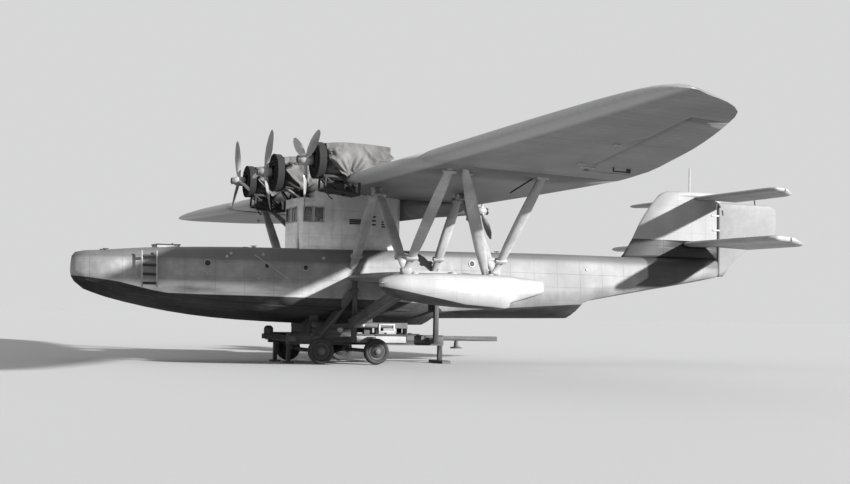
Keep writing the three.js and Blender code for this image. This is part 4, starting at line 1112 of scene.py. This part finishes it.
def dress_wing():
    """The braces, the ailerons' push rods and horns, and the plates under the wing."""
    lines = [rod("brace", start, end, 0.022) for start, end in WING_BRACES]
    finish_pair("wing_braces", lines, BLACK_PAINT)
    fittings = []
    for x, y in WING_PLATES:
        node = "wing_outer_left" if y > OUTER_PANEL_Y else "wing_centre"
        low = under(node, x, y, 4.0)
        fittings.append(slab("plate", (x - 0.1, y - 0.06, low - 0.03),
                             (x + 0.1, y + 0.06, low + 0.03), 0.008))
        fittings.append(slab("lug", (x - 0.04, y - 0.015, low - 0.11), (x + 0.04, y + 0.015, low), 0.008))
    x, y = WING_PLATES[1]
    low = under("wing_outer_left", x, y, 4.0) - 0.08
    fittings.append(rod("push_rod", (x, y, low), (-11.36, 12.19, low - 0.005), 0.02))
    finish_pair("wing_fittings", fittings, STRUT_PAINT)
    low = under("aileron_left", -12.4, 12.04, 4.0)
    horn = joined("aileron_horn", [
        slab("lug", (-12.34, 12.03, low - 0.1), (-12.46, 12.06, low + 0.02), 0.006),
        rod("horn_rod", (-11.9, 12.11, low - 0.075), (-12.4, 12.045, low - 0.075), 0.018),
        slab("stay", (-11.9, 12.09, low - 0.085), (-11.94, 12.12, low + 0.03), 0.006),
    ])
    mirror = copied(horn, "aileron_horn_right", mirror=True)
    horn.name = "aileron_horn_left"
    finish_piece(horn, BLACK_PAINT, BODIES["aileron_left"])
    finish_piece(mirror, BLACK_PAINT, BODIES["aileron_right"])


# Tail

def dress_tail():
    """Rudder hinge straps on the fin's trailing edge, and the upper elevators' horns."""
    straps = []
    for x, z in ((-23.1, 5.99), (-23.06, 5.49), (-23.1, 4.95)):
        (_, y, _), _ = on_side("fin", x, z)
        straps.append(slab("strap", (x, y - 0.02, z - 0.03), (x - 0.34, y + 0.02, z + 0.03), 0.008))
    finish_pair("rudder_straps", straps, STRUT_PAINT)
    for side, hand in (("left", 1), ("right", -1)):
        horn = rod("horn", (-24.3, hand * 1.0, 6.08), (-24.34, hand * 1.0, 5.88), 0.022)
        finish_piece(joined(f"elevator_horn_{side}", [horn]), BLACK_PAINT,
                     BODIES[f"elevator_upper_{side}"])


# Propellers

def dress_propeller(node, y, z, facing):
    """A hub plate with its nut and ring of bolts, on a shaft that faces forward (1) or aft (-1)."""
    low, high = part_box(node)
    face = ((high[0] if facing > 0 else low[0]) - BOW_X) / SCALE - 0.02 * facing
    plate = turned(f"{node}_plate", [(0.12, -0.03), (0.12, 0.01), (0.105, 0.02), (0.05, 0.022), (0.05, 0.035),
                                     (0.035, 0.045)], (face, y, z), (facing, 0, 0), 24)
    bolts = [turned("bolt", [(0.016, 0.0), (0.016, 0.03), (0.01, 0.035)],
                    (face, y + 0.08 * math.cos(turn), z + 0.08 * math.sin(turn)), (facing, 0, 0), 6)
             for turn in (math.radians(45 * count) for count in range(8))]
    finish_piece(joined(f"{node}_hub", [plate, *bolts]), ENGINE_METAL, BODIES[node])


# Floats

FLOAT_Y = 6.02


def dress_floats():
    lids = []
    for x in (-8.9, -10.1, -11.3):
        top = on_top("float_left", x, FLOAT_Y)
        lids.append(turned("lid", [(0.13, -0.03), (0.13, 0.012), (0.11, 0.024), (0.03, 0.028), (0.03, 0.045),
                                   (0.02, 0.05)], (x, FLOAT_Y, top), (0, 0, 1), 20))
    finish_pair("float_lids", lids, FLOAT_PAINT)


# Wheels

def dress_wheel(node):
    low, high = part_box(node)
    middle = (Vector(low) + Vector(high)) / 2
    centre = ((middle.x - BOW_X) / SCALE, middle.y / SCALE, middle.z / SCALE)
    outer = 1 if centre[1] > 0 else -1
    hub = turned(f"{node}_hub", [(0.11, 0.05), (0.11, 0.13), (0.085, 0.15), (0.085, 0.19), (0.06, 0.205)],
                 centre, (0, outer, 0), 20)
    nuts = [turned("nut", [(0.022, 0.04), (0.022, 0.09), (0.015, 0.097)],
                   (centre[0] + 0.16 * math.cos(turn), centre[1], centre[2] + 0.16 * math.sin(turn)),
                   (0, outer, 0), 6)
            for turn in (math.radians(60 * count) for count in range(6))]
    finish_piece(joined(f"{node}_hub", [hub, *nuts]), TROLLEY_PAINT, BODIES[node])
    disc = turned(f"{node}_disc", [(0.27, 0.03), (0.27, 0.064), (0.25, 0.072), (0.22, 0.062), (0.14, 0.06)],
                  centre, (0, outer, 0), 32)
    finish_piece(disc, DISC_PAINT, BODIES[node])


# Trolley

RAIL = {"y": 1.05, "half": 0.08, "low": 0.62, "high": 0.96, "front": -6.62, "back": -11.93}


def dress_trolley():
    y, half = RAIL["y"], RAIL["half"]
    flanges = []
    for low, high in ((RAIL["low"] - 0.004, RAIL["low"] + 0.03), (RAIL["high"] - 0.03, RAIL["high"] - 0.004)):
        flanges.append(slab("flange", (RAIL["back"], y - half - 0.04, low),
                            (RAIL["front"], y + half + 0.04, high)))
    finish_pair("rail_flanges", flanges, TROLLEY_PAINT)
    plates = []
    for x in (-7.5, -8.63, -9.35, -11.45):
        plates.append(slab("gusset", (x - 0.16, y + half, 0.78), (x + 0.16, y + half + 0.025, 0.94), 0.006))
        for along in (-0.1, 0.1):
            plates.append(turned("bolt", [(0.024, 0.0), (0.024, 0.035), (0.016, 0.042)],
                                 (x + along, y + half + 0.02, 0.86), (0, 1, 0), 6))
    for x in STRUT_STATIONS:
        plates.append(slab("upright_cap", (x - 0.11, 1.56, 2.3), (x + 0.11, 1.72, 2.42), 0.01))
    finish_pair("trolley_plates", plates, TROLLEY_PAINT)
    planks = [
        slab("plank", (-8.85, 1.13, 0.69), (-10.6, 1.19, 0.9), 0.012),
        slab("plank", (-9.0, 0.72, 0.965), (-10.9, 0.94, 1.01), 0.012),
    ]
    finish_piece(joined("deck_planks", planks), TIMBER)
    frame_bars = [
        slab("bar", (-9.64, 1.165, 1.25), (-10.2, 1.2, 1.3), 0.006),
        slab("bar", (-9.64, 1.165, 1.02), (-10.2, 1.2, 1.07), 0.006),
        slab("bar", (-9.64, 1.165, 1.05), (-9.7, 1.2, 1.27), 0.006),
        slab("bar", (-10.14, 1.165, 1.05), (-10.2, 1.2, 1.27), 0.006),
        turned("boss", [(0.1, -0.03), (0.1, 0.02), (0.08, 0.035), (0.03, 0.04)],
               (-8.34, 1.13, 1.1), (0, 1, 0), 20),
        turned("boss", [(0.05, -0.03), (0.05, 0.02), (0.03, 0.035)], (-9.12, 1.16, 1.24), (0, 1, 0), 14),
    ]
    finish_pair("girder_fittings", frame_bars, PALE_STEEL)
    jack = [
        turned("jack_body", [(0.12, -0.12), (0.15, -0.1), (0.15, 0.08), (0.1, 0.14), (0.06, 0.16)],
               (-6.3, 0, 1.02), (0, 0, 1), 20),
        turned("shoe", [(0.2, 0.0), (0.2, 0.04), (0.08, 0.07), (0.06, 0.3)], (-12.9, 0, 0.5), (0, 0, 1), 20),
    ]
    finish_piece(joined("towing_fittings", jack), TROLLEY_PAINT)


# Assembly

add_camera()
light_room()
lay_floor(make_floor())
bpy.context.scene.view_settings.view_transform = "Standard"

HULL_PAINT = make_hull_paint()
WING_SKIN = make_wing_skin()
TOWER_PAINT = make_tower_paint()
SILVER_PAINT = make_plain_paint("silver_paint", 0.22, 0.32, 0.4, seam=0.7)
TAIL_SKIN = make_plain_paint("tail_skin", 0.24, 0.29, 0.5, seam=0.6)
RUDDER_SKIN = make_plain_paint("rudder_skin", 0.12, 0.15, 0.6)
FIN_PAINT = make_fin_paint()
FLOAT_PAINT = make_float_paint()
STUB_PAINT = make_plain_paint("stub_paint", 0.16, 0.22, 0.45, seam=0.8)
STRUT_PAINT = make_plain_paint("strut_paint", 0.22, 0.36, 0.5)
BLACK_PAINT = make_plain_paint("black_paint", 0.008, 0.02, 0.7)
ENGINE_METAL = make_plain_paint("engine_metal", 0.03, 0.09, 0.4)
RADIATOR_BLACK = make_plain_paint("radiator_black", 0.003, 0.006, 0.9)
TROLLEY_PAINT = make_plain_paint("trolley_paint", 0.035, 0.075, 0.7)
TIMBER = make_plain_paint("timber", 0.2, 0.32, 0.8)
CRADLE_WOOD = make_plain_paint("cradle_wood", 0.03, 0.06, 0.8)
CANVAS = make_canvas()
BLADE = make_plain_paint("blade", 0.2, 0.3, 0.3)
DISC_PAINT = make_plain_paint("disc_paint", 0.02, 0.045, 0.6)
PALE_STEEL = make_plain_paint("pale_steel", 0.22, 0.34, 0.5)
RUBBER = make_plain_paint("rubber", 0.012, 0.025, 0.8)
GLASS = make_glass()

skin("hull", HULL_PAINT)
skin("hatch_coaming", SILVER_PAINT, bevel=0.01)
skin("tower_roof", TOWER_PAINT, bevel=0.01)
skin("tower_walls", TOWER_PAINT)
for side in ("left", "right"):
    skin(f"float_{side}", FLOAT_PAINT)
    skin(f"stub_wing_{side}", STUB_PAINT)
    skin(f"wing_outer_{side}", WING_SKIN)
    skin(f"aileron_{side}", WING_SKIN)
    skin(f"elevator_lower_{side}", TAIL_SKIN)
    skin(f"elevator_upper_{side}", TAIL_SKIN)
    skin(f"struts_front_{side}", STRUT_PAINT)
    skin(f"struts_rear_{side}", STRUT_PAINT)
    skin(f"strut_diagonal_{side}", STRUT_PAINT)
    for row in ("front", "rear"):
        skin(f"wheel_{row}_{side}", RUBBER)
        dress_wheel(f"wheel_{row}_{side}")
skin("wing_centre", WING_SKIN)
skin("tailplane_lower", TAIL_SKIN)
skin("tailplane_upper", TAIL_SKIN)
skin("fin", FIN_PAINT)
skin("rudder", RUDDER_SKIN)
skin("engine_rear", WING_SKIN)
skin("aerial_mast", STRUT_PAINT)
skin("boarding_ladder", STRUT_PAINT)
skin("trolley_frame", TROLLEY_PAINT)
skin("cradle_front", CRADLE_WOOD)
skin("cradle_rear", CRADLE_WOOD)
skin("hatch_lid", BLACK_PAINT)
skin("pilot_seats", BLACK_PAINT)
skin("instrument_panel", BLACK_PAINT)
skin("tower_glazing", GLASS)
for place in FRONT_ENGINES:
    make_radiator(place)
    skin(f"engine_{place}", ENGINE_METAL)
    make_cylinders(place)
    make_cover(place)
    skin(f"propeller_{place}", BLADE)
skin("propeller_rear", BLADE)
make_centre_bearers()
make_side_bearers("left")
make_side_bearers("right")
dress_tower()
dress_hull()
dress_deck()
dress_struts()
dress_wing()
dress_tail()
dress_floats()
dress_trolley()
for place, (y, z, _) in FRONT_ENGINES.items():
    dress_propeller(f"propeller_{place}", y, z, 1)
dress_propeller("propeller_rear", 0.0, REAR_SHAFT_Z, -1)
